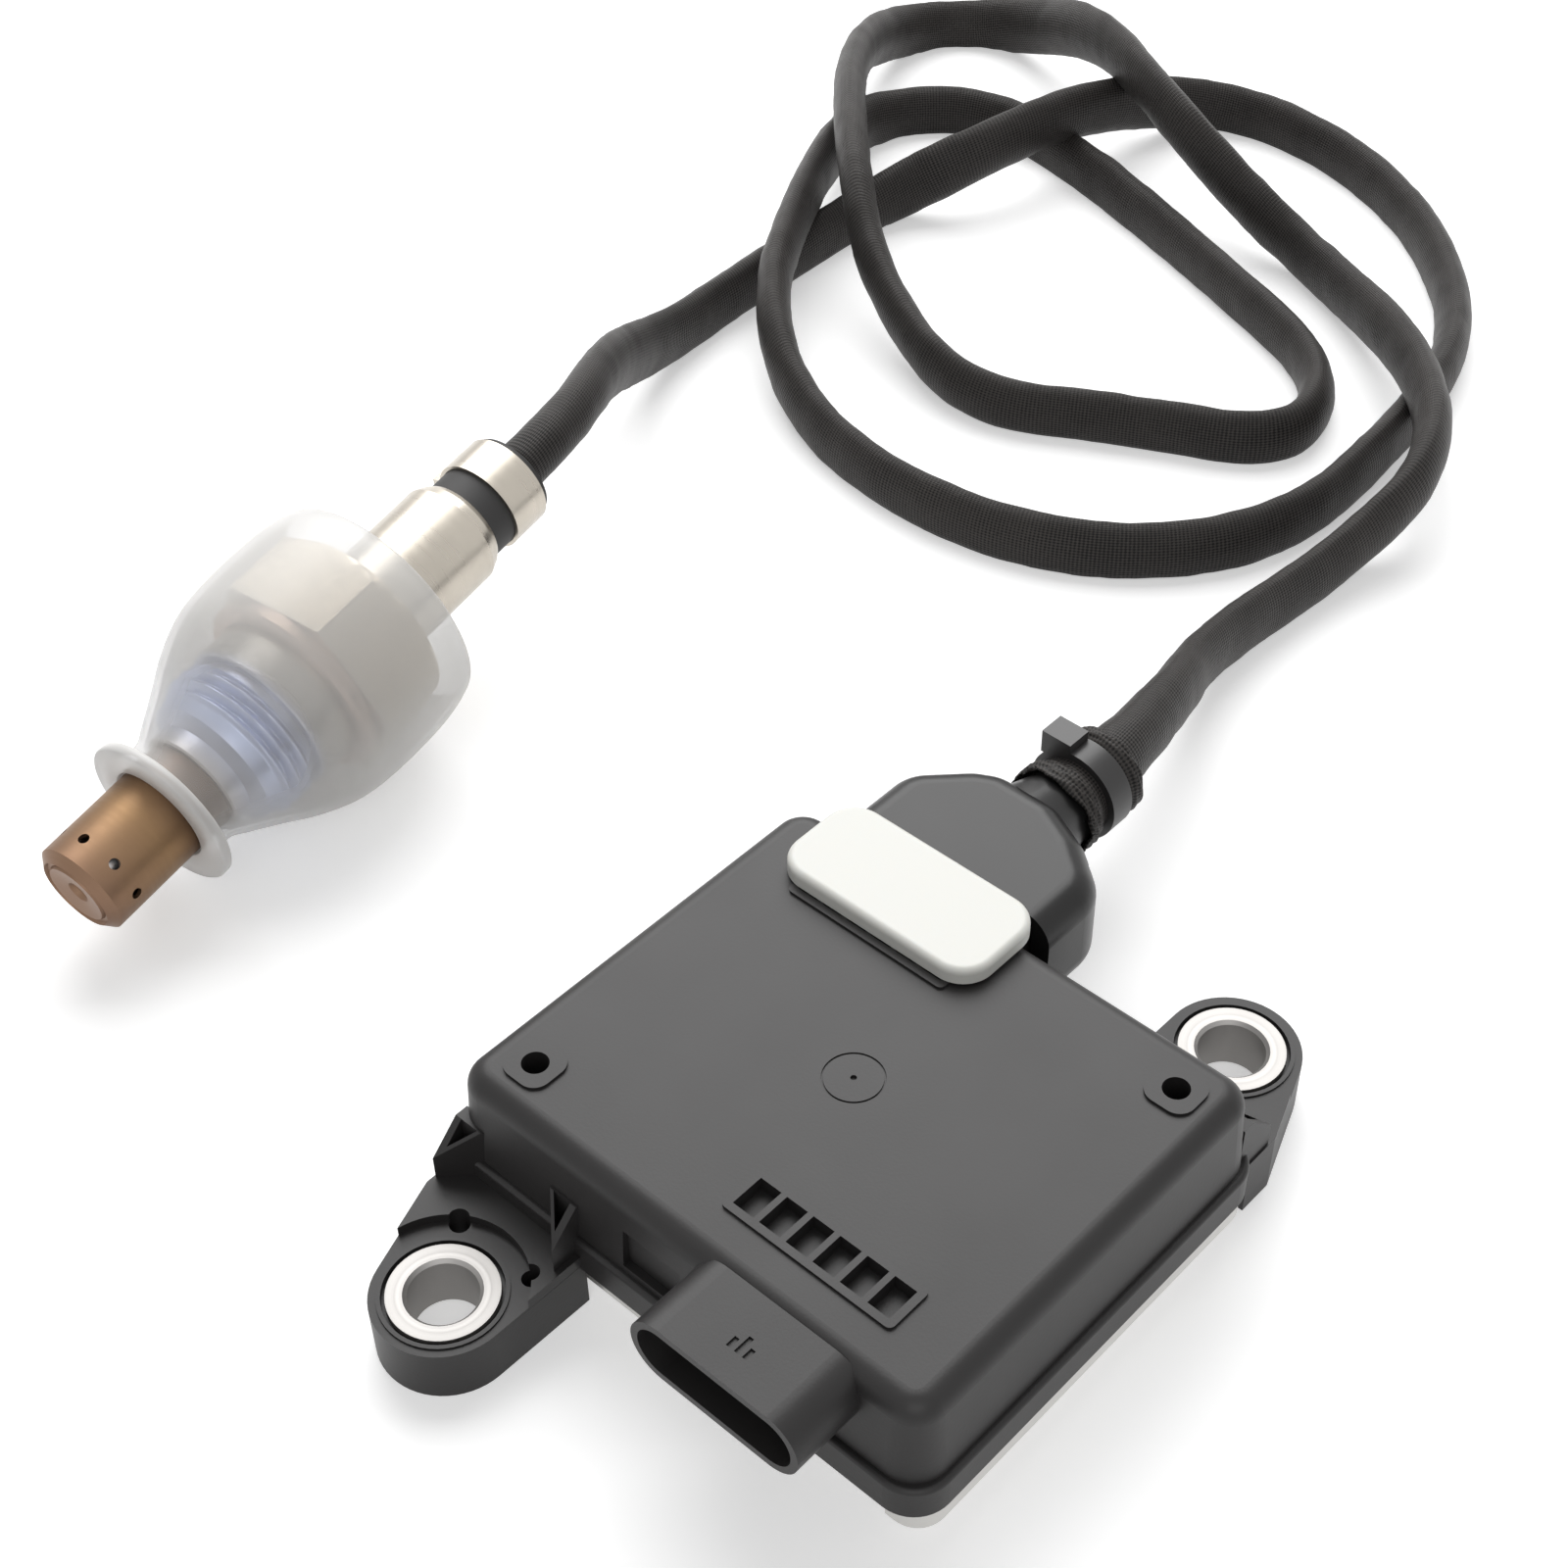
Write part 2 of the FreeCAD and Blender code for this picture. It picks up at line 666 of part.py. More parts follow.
def build_top_details(body):
    """Raised pads, raised frames with ribbed recesses, each with its copy half a turn round."""
    pads = new_sketch(body, "pads", "XY_Plane", size("top_level") - 0.2)
    half = size("pad_size") / 2
    x = -PAD_X
    y = -PAD_Y
    draw_rounded_rectangle(pads, x - half, x + half, y - half, y + half, size("pad_round"))
    start = size("vent_start")
    front = -size("vent_front")
    back = front + size("vent_cell_length")
    edge = size("frame_edge")
    end = start + size("vent_pitch") * (VENT_CELLS - 1) + size("vent_cell_width")
    draw_rounded_rectangle(pads, start - edge, end + edge, front - edge, back + edge, size("frame_round"))
    raised = extrude(body, pads, "Pad", size("frame_rise") + 0.2)
    cells = new_sketch(body, "vent_cells", "XY_Plane", PLATE_BOTTOM)
    for index in range(VENT_CELLS):
        left = start + size("vent_pitch") * index
        draw_rectangle(cells, left, left + size("vent_cell_width"), front, back)
    recess = extrude(body, cells, "Pocket", size("vent_depth"))
    hole = new_sketch(body, "pad_hole", "XY_Plane", PLATE_BOTTOM)
    draw_circle(hole, x, y, size("pad_hole"))
    drilled = extrude(body, hole, "Pocket", size("pad_hole_depth"))
    made = [raised, recess, drilled]
    body.Tip = drilled
    pattern = polar_pattern(body, made, 2)
    pattern.Label = "top_pattern"
    mark = new_sketch(body, "gate_mark", "XY_Plane", size("top_level"))
    draw_circle(mark, 0, 0, size("gate_mark"))
    draw_circle(mark, 0, 0, size("gate_mark") - 0.2)
    extrude(body, mark, "Pocket", size("gate_depth"))
    dimple = new_sketch(body, "gate_dimple", "XY_Plane", size("top_level"))
    draw_circle(dimple, 0, 0, size("gate_dimple"))
    extrude(body, dimple, "Pocket", size("gate_depth") * 2)


def make_housing():
    body = new_body("module_housing")
    build_box(body)
    build_bosses(body)
    build_socket(body)
    build_front_marks(body)
    build_neck(body)
    build_ears(body)
    build_underside(body)
    build_top_details(body)
    return body


def make_base_plate():
    """Plate that closes the housing, with four bars that hold the board up and countersunk holes."""
    body = new_body("base_plate")
    low = size("lip_bottom") - size("base_thick")
    x = LIP_X - size("base_inset")
    y = BASE_EDGE_Y
    outline = new_sketch(body, "outline", "XY_Plane", low)
    draw_rounded_rectangle(outline, -x, x, -y, y, size("corner_round"))
    extrude(body, outline, "Pad", size("base_thick"))
    bars = new_sketch(body, "bars", "XY_Plane", size("lip_bottom") - 0.1)
    inner_x = LOWER_X - size("base_clearance")
    inner_y = LOWER_Y - size("base_clearance")
    bar = size("base_bar")
    clear_x = PAD_X - size("boss_round") - 1
    clear_y = PAD_Y - size("boss_round") - 1
    draw_rectangle(bars, -clear_x, clear_x, inner_y - bar, inner_y)
    draw_rectangle(bars, -clear_x, clear_x, -inner_y, bar - inner_y)
    draw_rectangle(bars, inner_x - bar, inner_x, -clear_y, clear_y)
    draw_rectangle(bars, -inner_x, bar - inner_x, -clear_y, clear_y)
    extrude(body, bars, "Pad", size("board_level") - size("lip_bottom") + 0.1)
    notch = new_sketch(body, "notch", "XY_Plane", size("lip_bottom"))
    draw_rectangle(notch, size("base_notch_start"), x - size("base_notch") * 2, -y - 1,
                   size("base_notch") - y)
    extrude(body, notch, "Pocket", size("base_thick"))
    holes = new_sketch(body, "holes", "XY_Plane", low)
    for hole_x, hole_y in boss_centres():
        draw_circle(holes, hole_x, hole_y, size("screw_shank") + 0.05)
    extrude(body, holes, "Pocket", size("base_thick"), True)
    chamfer(body, size("screw_head") - size("screw_shank"), "countersinks",
            lambda edge: lies_at(low, edge) and is_circle(edge, float(size("screw_shank")) + 0.05))
    return body


def is_circle(edge, radius):
    return isinstance(edge.Curve, Part.Circle) and abs(edge.Curve.Radius - radius) < 0.001


def make_base_screws():
    """Four countersunk screws through the base plate into the housing's posts."""
    low = float(size("lip_bottom") - size("base_thick"))
    head = float(size("screw_head"))
    shank = float(size("screw_shank"))
    sink = head - shank
    top = low + float(size("screw_length"))
    recess = shank * 0.6
    outline = [(0, low + recess), (recess, low + recess), (recess, low), (head, low), (shank, low + sink),
               (shank, top), (0, top)]
    screws = []
    for x, y in boss_centres():
        wire = Part.makePolygon([Vector(r, 0, z) for r, z in outline + outline[:1]])
        screw = Part.Face(wire).revolve(Vector(0, 0, 0), Vector(0, 0, 1), 360)
        screw.translate(Vector(float(x), float(y), 0))
        screws.append(screw)
    return add_shape("base_screws", Part.makeCompound(screws))


def add_shape(name, shape):
    feature = doc.addObject("Part::Feature", name)
    feature.Label = name
    feature.Shape = shape
    return feature


def make_gasket():
    body = new_body("base_gasket")
    ring = new_sketch(body, "ring", "XY_Plane", size("lip_bottom"))
    draw_gasket(ring)
    extrude(body, ring, "Pad", size("gasket_height"))
    return body


def make_sleeve(name, side):
    """Bush in an ear: side is 1 at the front and -1 at the rear."""
    body = new_body(name)
    x = EAR_X * side
    y = EAR_Y * side
    ring = new_sketch(body, "ring", "XY_Plane")
    draw_circle(ring, x, y, size("sleeve_outer"))
    draw_circle(ring, x, y, size("sleeve_bore"))
    extrude(body, ring, "Pad", size("ear_level") + size("collar_rise"))
    chamfer(body, size("sleeve_chamfer"), "chamfer", lambda edge: is_circle(edge, float(size("sleeve_bore"))))
    return body


def terminal_places():
    middle = (LEADS - 1) / 2
    return [size("lead_count_pitch") * (index - middle) - size("spigot_across") for index in range(LEADS)]


def make_board():
    """Circuit board with its corners cut out for the posts and slots for pins and terminals."""
    body = new_body("circuit_board")
    x = LOWER_X - size("board_clearance")
    y = LOWER_Y - size("board_clearance")
    cut_x = PAD_X - size("boss_round") - size("board_clearance")
    cut_y = PAD_Y - size("boss_round") - size("board_clearance")
    outline = new_sketch(body, "outline", "XY_Plane", size("board_level"))
    draw_polygon(outline, [(-cut_x, -y), (cut_x, -y), (cut_x, -cut_y), (x, -cut_y), (x, cut_y),
                           (cut_x, cut_y), (cut_x, y), (-cut_x, y), (-cut_x, cut_y), (-x, cut_y),
                           (-x, -cut_y), (-cut_x, -cut_y)])
    extrude(body, outline, "Pad", size("board_thick"))
    slots = new_sketch(body, "slots", "XY_Plane", size("board_level"))
    gap = size("pin_gap")
    for pin_x in pin_places():
        draw_rectangle(slots, pin_x - size("pin_width") / 2 - gap, pin_x + size("pin_width") / 2 + gap,
                       -PIN_LEG - size("pin_thick") / 2 - gap,
                       size("pin_thick") / 2 - PIN_LEG + gap)
    for place in terminal_places():
        draw_rectangle(slots, place - size("terminal_width") / 2 - gap,
                       place + size("terminal_width") / 2 + gap,
                       LEAD_START - gap,
                       LEAD_START + size("terminal_thick") + gap)
    extrude(body, slots, "Pocket", size("board_thick"), True)
    return body


def make_block(name, x, y, low, length, width, height):
    """Plain box whose sizes and place are tied to the sheet."""
    box = doc.addObject("Part::Box", name)
    box.Label = name
    bind(box, "Length", length)
    bind(box, "Width", width)
    bind(box, "Height", height)
    for axis, amount in (("x", x - length / 2), ("y", y - width / 2), ("z", low)):
        box.setExpression(f"Placement.Base.{axis}", amount.text)
    return box


def make_capacitors():
    """Three upright cans on the board."""
    radius = float(size("capacitor_radius"))
    height = float(size("capacitor_height"))
    step = radius * 2 + 1
    left = -float(CAVITY_X) + radius + 1.5
    front = -float(PAD_Y) + float(size("boss_round")) + radius
    cans = []
    for index in range(3):
        corner = Vector(left + step * index, front, float(BOARD_TOP))
        cans.append(Part.makeCylinder(radius, height, corner))
    return add_shape("capacitors", Part.makeCompound(cans))


def bent_blade(x, width, thick, run, level, leg, bottom):
    """Blade bent at a right angle: a tongue from run[0] to run[1] and a leg that goes down at leg."""
    corner = Vector(x - width / 2, min(run), level - thick / 2)
    tongue = Part.makeBox(width, abs(run[1] - run[0]), thick, corner)
    post = Part.makeBox(width, thick, level + thick / 2 - bottom, Vector(x - width / 2, leg, bottom))
    return tongue.fuse(post).removeSplitter()


def make_pins():
    """Blades of the connector, bent down into the board."""
    thick = float(size("pin_thick"))
    leg = -float(PIN_LEG) - thick / 2
    bottom = float(size("board_level")) - float(size("pin_below"))
    blades = []
    for x in pin_places():
        run = (-float(PIN_TIP), leg + thick)
        blades.append(bent_blade(float(x), float(size("pin_width")), thick, run, float(SOCKET_MIDDLE),
                                 leg, bottom))
    return add_shape("connector_pins", Part.makeCompound(blades))


def make_terminals():
    """Tongues on which the leads of the cable are welded."""
    thick = float(size("terminal_thick"))
    leg = float(LEAD_START)
    level = float(size("spigot_level") - size("lead_radius")) - thick / 2
    bottom = float(size("board_level")) - float(size("pin_below"))
    blades = []
    for x in terminal_places():
        run = (leg, leg + 5)
        blades.append(bent_blade(float(x), float(size("terminal_width")), thick, run, level, leg, bottom))
    return add_shape("lead_terminals", Part.makeCompound(blades))


def rounded_path(points):
    """Straight runs joined by tangent arcs, each as large as its two shorter halves allow."""
    corners = [Vector(*point) for point in points]
    edges = []
    radii = []
    start = corners[0]
    for before, corner, after in zip(corners, corners[1:], corners[2:]):
        inward = (corner - before).normalize()
        outward = (after - corner).normalize()
        turn = inward.getAngle(outward)
        cut = 0.45 * min((corner - before).Length, (after - corner).Length)
        radii.append(cut / math.tan(turn / 2))
        first = corner - inward * cut
        last = corner + outward * cut
        bulge = corner + (outward - inward).normalize() * (radii[-1] / math.cos(turn / 2) - radii[-1])
        edges.append(Part.LineSegment(start, first).toShape())
        edges.append(Part.Arc(first, bulge, last).toShape())
        start = last
    edges.append(Part.LineSegment(start, corners[-1]).toShape())
    return Part.Wire(edges), radii


def make_tube(points, path, radius):
    """Round cord along the rounded path of the points."""
    along = Vector(*points[1]) - Vector(*points[0])
    section = Part.Wire(Part.makeCircle(radius, Vector(*points[0]), along))
    return path.makePipeShell([section], True, False)


def make_leads():
    """Insulated leads from the terminals through the seal into the spigot."""
    level = float(size("spigot_level"))
    middle = -float(size("spigot_across"))
    begin = float(LEAD_START) + 0.3
    seal_end = float(SEAL_START + size("seal_length"))
    boot_end = float(BOOT_BACK - size("boot_wall"))
    end = float(SPIGOT_END)
    leads = []
    for index, x in enumerate(terminal_places()):
        angle = math.radians(180 * (1 - index / (LEADS - 1)))
        bundle_x = middle + float(size("lead_bundle")) * math.cos(angle)
        bundle_z = level + float(size("lead_bundle")) * math.sin(angle)
        points = [(float(x), begin, level), (float(x), seal_end + 3.2, level),
                  (bundle_x, boot_end - 0.5, bundle_z), (bundle_x, end, bundle_z)]
        path, radii = rounded_path(points)
        leads.append(make_tube(points, path, float(size("lead_radius"))))
    return add_shape("lead_wires", Part.makeCompound(leads))


def make_wire_seal():
    """Rubber block in the neck, with a hole for each lead."""
    body = new_body("wire_seal")
    wall = size("neck_wall") + size("seal_gap")
    block = new_sketch(body, "block", "XZ_Plane", -SEAL_START - size("seal_length"))
    draw_rectangle(block, wall - size("neck_left"), -size("neck_right") - wall, NECK_LOW + wall,
                   size("neck_top") - wall)
    for place in terminal_places():
        draw_circle(block, place, size("spigot_level"), size("lead_radius") + size("seal_gap"))
    extrude(body, block, "Pad", size("seal_length"))
    return body


def make_boot():
    """Hood over the neck that narrows to a round spigot for the cable."""
    body = new_body("cable_boot")
    plan = new_sketch(body, "plan", "XY_Plane", size("boot_bottom"))
    left = -size("boot_left")
    right = size("boot_right")
    corner = size("boot_corner")
    draw_polygon(plan, [(left, BOOT_FRONT), (right, BOOT_FRONT),
                        (right, BOOT_BACK - corner), (right - corner, BOOT_BACK - 1),
                        (-size("spigot_across") + 3, BOOT_BACK + 1.5),
                        (-size("spigot_across") - 4, BOOT_BACK + 1.5),
                        (left + corner, BOOT_BACK), (left, BOOT_BACK - corner)])
    extrude(body, plan, "Pad", size("top_level") - size("boot_bottom"))
    fillet(body, size("boot_corner"), "corner_fillet", lambda edge: is_back_corner(edge))
    fillet(body, size("boot_edge"), "edge_fillet", lambda edge: is_long_edge(edge))
    taper = new_sketch(body, "spigot", "YZ_Plane", -size("spigot_across"))
    level = size("spigot_level")
    root = size("spigot_root")
    draw_polygon(taper, [(BOOT_BACK - 3, level), (SPIGOT_END, level),
                         (SPIGOT_END, level + size("spigot_radius")),
                         (SPIGOT_ROOT_END + 1, level + size("spigot_radius")),
                         (BOOT_BACK - 0.5, level + root - 0.3),
                         (BOOT_BACK - 3, level + root - 0.3)])
    turned = revolve(body, taper)
    turned.ReferenceAxis = (taper, ["Edge1"])
    inside = new_sketch(body, "inside", "XZ_Plane", -BOOT_FRONT)
    gap = size("boot_gap")
    draw_rounded_rectangle(inside, -size("neck_left") - gap, gap - size("neck_right"),
                           NECK_LOW - gap, size("neck_top") + gap, size("neck_round"))
    extrude(body, inside, "Pocket", BOOT_BACK - BOOT_FRONT - size("boot_wall"))
    bore = new_sketch(body, "bore", "XZ_Plane", -BOOT_FRONT)
    draw_circle(bore, -size("spigot_across"), level, size("spigot_bore"))
    extrude(body, bore, "Pocket", SPIGOT_END - BOOT_FRONT)
    return body


def is_back_corner(edge):
    """Upright edges behind the boot's straight flanks."""
    box = edge.BoundBox
    upright = box.ZLength > 1 and box.XLength < 0.01 and box.YLength < 0.01
    return upright and box.YMin > float(BOOT_FRONT) + 1


def is_long_edge(edge):
    """Edges of the boot's top and bottom faces, except along its open front."""
    box = edge.BoundBox
    level = lies_at(size("top_level"), edge) or lies_at(size("boot_bottom"), edge)
    return level and box.YMax > float(BOOT_FRONT) + 0.01


def make_lock_plate():
    """Rounded plate over the joint of boot and housing, with two feet on the neck."""
    body = new_body("lock_plate")
    plan = new_sketch(body, "plan", "XY_Plane", PLATE_BOTTOM)
    draw_rounded_rectangle(plan, -size("plate_left"), size("plate_right"), PLATE_FRONT,
                           PLATE_BACK, size("plate_corner"))
    extrude(body, plan, "Pad", size("plate_thick"))
    fillet(body, size("plate_edge"), "edge_fillet",
           lambda edge: lies_at(PLATE_BOTTOM + size("plate_thick"), edge))
    feet = new_sketch(body, "feet", "XY_Plane", PLATE_BOTTOM + 0.2)
    width = size("plate_leg_width")
    left = -size("neck_left") + 2
    right = -size("neck_right") - 2
    back = PLATE_BACK
    draw_rectangle(feet, left, left + width, back - size("plate_leg"), back)
    draw_rectangle(feet, right - width, right, back - size("plate_leg"), back)
    extrude(body, feet, "Pad", PLATE_BOTTOM + 0.2 - size("neck_top"), True)
    return body


def make_tie():
    """Band round the spigot with its lock head."""
    body = new_body("sleeve_tie")
    inner = size("spigot_radius") + 0.05
    outer = inner + size("tie_thick")
    start = TIE_START
    x = -size("spigot_across")
    level = size("spigot_level")
    band = new_sketch(body, "band", "XZ_Plane", -start - size("tie_width"))
    draw_circle(band, x, level, outer)
    extrude(body, band, "Pad", size("tie_width"))
    head = new_sketch(body, "head", "XZ_Plane", -start - size("tie_width"))
    half = size("tie_head") / 2
    draw_rectangle(head, x - half - 2.6, x + half - 2.6, level + inner - 1, level + inner + half)
    extrude(body, head, "Pad", size("tie_width"))
    hole = new_sketch(body, "hole", "XZ_Plane", -start - size("tie_width"))
    draw_circle(hole, x, level, inner)
    extrude(body, hole, "Pocket", size("tie_width"), True)
    return body



def probe_placement():
    """Frame of the probe: its Z axis runs from the cap's flange to the cable."""
    heading = math.radians(float(size("probe_heading")))
    rise = math.radians(float(size("probe_rise")))
    axis = Vector(math.cos(heading) * math.cos(rise), math.sin(heading) * math.cos(rise), math.sin(rise))
    side = Vector(0, 0, 1).cross(axis).normalize()
    turn = Rotation(side, axis.cross(side), axis, "ZXY")
    corner = Vector(float(size("probe_x")), float(size("probe_y")), float(size("probe_z")))
    return Placement(corner, turn)


def probe_body(name):
    body = new_body(name)
    body.Placement = probe_placement()
    return body


def turn_profile(name, points):
    """Body of revolution about the probe's axis, from corners given as radius and station."""
    body = probe_body(name)
    sketch = new_sketch(body, "profile", "XZ_Plane")
    draw_polygon(sketch, points)
    revolve(body, sketch)
    return body


def make_outer_shield():
    """Closed tube with a ring of holes and a dished end with a groove round it."""
    radius = size("shield_radius")
    wall = size("shield_wall")
    front = size("shield_front")
    back = size("shield_back")
    inner = radius - wall
    body = turn_profile("outer_shield", [
        (0, front + 1.0), (0.9, front + 1.0), (1.3, front + 0.45), (radius - 1.9, front + 0.1),
        (radius - 1.7, front + 0.45), (radius - 1.3, front + 0.45), (radius - 1.1, front + 0.1),
        (radius, front + size("shield_round")), (radius, back), (inner, back),
        (inner, front + size("shield_round") + wall), (0, front + size("shield_round") + wall)])
    hole = new_sketch(body, "hole", "YZ_Plane", radius + 1)
    draw_circle(hole, 0, size("shield_hole_at"), size("shield_hole"))
    cut = extrude(body, hole, "Pocket", 2)
    polar_pattern(body, [cut], SHIELD_HOLES)
    return body


def make_inner_shield():
    """Second tube inside the first, closed in front and flanged behind."""
    radius = size("inner_shield_radius")
    wall = size("inner_shield_wall")
    front = size("inner_shield_front")
    back = size("shield_back")
    rim = size("shield_radius") - size("shield_wall") - 0.05
    return turn_profile("inner_shield", [
        (1.0, front), (radius, front), (radius, back - wall), (rim, back - wall), (rim, back),
        (radius - wall, back), (radius - wall, front + wall), (1.0, front + wall)])


def make_probe_body():
    """Nose, threaded length, collar and hexagon with the boss for the shell, bored through."""
    bore = size("bore_radius")
    thread = size("thread_radius")
    nose = size("nose_radius")
    seat = size("shield_radius") + size("core_gap")
    boss = size("shell_radius") - size("shell_wall") - size("core_gap")
    start = size("thread_start")
    end = size("thread_end")
    relief = size("thread_relief")
    body = turn_profile("probe_body", [
        (seat, size("nose_front")), (nose, size("nose_front")), (nose, start - 2.4), (thread - 1.25, start - 1.4),
        (thread, start), (thread, end), (thread - 0.9, end), (thread - 0.9, end + relief),
        (size("collar_radius"), end + relief), (size("collar_radius"), size("hex_start")),
        (size("hex_across_flats") / 2, size("hex_start")), (size("hex_across_flats") / 2, size("hex_end")),
        (boss, size("hex_end")), (boss, size("boss_end")), (bore, size("boss_end")),
        (bore, size("core_front")), (seat, size("core_front"))])
    hexagon = new_sketch(body, "hexagon", "XY_Plane", size("hex_start"))
    flats = size("hex_across_flats")
    corner = flats / math.sqrt(3)
    draw_polygon(hexagon, [(corner, 0), (corner / 2, flats / 2), (-corner / 2, flats / 2),
                           (-corner, 0), (-corner / 2, -flats / 2), (corner / 2, -flats / 2)])
    draw_circle(hexagon, 0, 0, bore)
    extrude(body, hexagon, "Pad", size("hex_end") - size("hex_start"))
    cone = new_sketch(body, "hex_bevel", "XZ_Plane")
    bevel = 1.5
    draw_polygon(cone, [(corner + 0.5, size("hex_end") + 0.5), (flats / 2, size("hex_end") + 0.5),
                        (flats / 2, size("hex_end")), (corner + 0.5, size("hex_end") - bevel)])
    revolve(body, cone, "Groove")
    return body


def make_seal_ring():
    """Crush gasket against the front of the hexagon."""
    inner = size("collar_radius") + 0.1
    outer = size("ring_outer")
    back = size("hex_start") - 0.02
    front = back - size("ring_thick")
    return turn_profile("seal_ring", [
        (inner, front), (outer - 0.5, front), (outer, front + 0.5), (outer, back), (inner, back)])


def make_core():
    """Ceramic bush with the slot that holds the strip."""
    body = turn_profile("ceramic_core", [
        (0, size("core_front")), (size("bore_radius") - size("core_gap"), size("core_front")),
        (size("bore_radius") - size("core_gap"), size("boss_end") - 2), (0, size("boss_end") - 2)])
    cut_slot(body, size("core_front"), size("boss_end") - size("core_front"))
    return body


def cut_slot(body, start, length):
    slot = new_sketch(body, "slot", "XY_Plane", start)
    half_width = size("strip_width") / 2 + size("core_gap")
    half_thick = size("strip_thick") / 2 + size("core_gap")
    draw_rectangle(slot, -half_width, half_width, -half_thick, half_thick)
    extrude(body, slot, "Pocket", length, True)


def make_strip():
    """Layered ceramic sensing strip."""
    body = probe_body("sensing_strip")
    section = new_sketch(body, "section", "XY_Plane", size("strip_front"))
    half_width = size("strip_width") / 2
    half_thick = size("strip_thick") / 2
    draw_rectangle(section, -half_width, half_width, -half_thick, half_thick)
    extrude(body, section, "Pad", size("strip_back") - size("strip_front"))
    return body


def make_holder():
    """Ceramic block that presses the contacts on the strip."""
    radius = size("shell_radius") - size("shell_wall") - size("core_gap")
    body = turn_profile("contact_holder", [
        (0, size("holder_start")), (radius, size("holder_start")), (radius, size("holder_end")),
        (0, size("holder_end"))])
    cut_slot(body, size("holder_start"), size("strip_back") - size("holder_start") + 0.2)
    return body


def make_shell():
    """Drawn steel tube from the hexagon to the grommet."""
    radius = size("shell_radius")
    wall = size("shell_wall")
    end = size("shell_end")
    mouth = size("grommet_radius") + size("core_gap")
    start = size("hex_end") + 0.05
    body = turn_profile("upper_shell", [
        (radius - wall, start), (radius, start), (radius, end - size("shell_round")),
        (radius - 0.5, end - 0.6), (radius - 0.9, end), (mouth, end), (mouth, end - wall),
        (radius - wall, end - size("shell_round"))])
    notch = new_sketch(body, "notch", "YZ_Plane", radius + 1)
    level = size("cap_end") + 2.5
    draw_polygon(notch, [(1.6, level), (2.4, level), (2.4, level + 2.6), (1.6, level + 1.8)])
    extrude(body, notch, "Pocket", radius)
    return body


def make_grommet():
    """Plug in the end of the shell, carried on under the clamp to the cable."""
    inner = size("shell_radius") - size("shell_wall") - size("core_gap")
    neck = size("grommet_radius")
    holder_end = size("holder_end") + 0.1
    step = size("shell_end") - size("shell_round") - 0.1
    return turn_profile("cable_grommet", [
        (0, holder_end), (inner, holder_end), (inner, step), (neck, step + 0.4),
        (neck, size("grommet_end") - 0.8), (neck - 1.4, size("grommet_end")), (0, size("grommet_end"))])


def make_clamp():
    """Crimped band with its pinched ear."""
    body = probe_body("sleeve_clamp")
    inner = size("grommet_radius") + size("core_gap")
    outer = inner + size("clamp_wall")
    ring = new_sketch(body, "ring", "XY_Plane", size("clamp_start"))
    draw_circle(ring, 0, 0, outer)
    extrude(body, ring, "Pad", size("clamp_width"))
    ear = new_sketch(body, "ear", "XY_Plane", size("clamp_start"))
    half = size("clamp_ear") / 2
    draw_polygon(ear, [(inner - 0.5, -half), (outer + 1.0, -half * 0.7), (outer + 1.0, half * 0.7),
                       (inner - 0.5, half)])
    extrude(body, ear, "Pad", size("clamp_width"))
    hole = new_sketch(body, "hole", "XY_Plane", size("clamp_start"))
    draw_circle(hole, 0, 0, inner)
    extrude(body, hole, "Pocket", size("clamp_width"), True)
    return body


def make_cap():
    """Soft moulded cap: front flange, narrow neck on the shield and a wide bulged skirt."""
    wall = size("cap_wall")
    front = size("cap_flange_start")
    flange_back = front + size("cap_flange_thick")
    grip = size("shield_radius") + size("cap_grip")
    neck_end = size("cap_neck_end")
    shoulder = size("cap_shoulder")
    shoulder_at = size("cap_shoulder_at")
    middle = neck_end + (shoulder_at - neck_end) * 0.58
    bulge = size("cap_bulge")
    bulge_at = size("cap_bulge_at")
    outside = [(size("cap_neck"), neck_end), (size("cap_neck") + 3.0, middle), (shoulder, shoulder_at),
               (bulge - 0.6, bulge_at - 4.7), (bulge, bulge_at), (bulge, bulge_at + 6),
               (size("cap_rim") + 0.6, size("cap_end") - 2), (size("cap_rim"), size("cap_end"))]
    inside = [(radius - wall, station) for radius, station in reversed(outside[1:])]
    return turn_profile("protective_cap", [
        (grip, front), (size("cap_flange"), front), (size("cap_flange"), flange_back),
        (size("cap_neck"), flange_back)] + outside + inside + [(grip + 0.75, neck_end + 0.6), (grip, neck_end)])


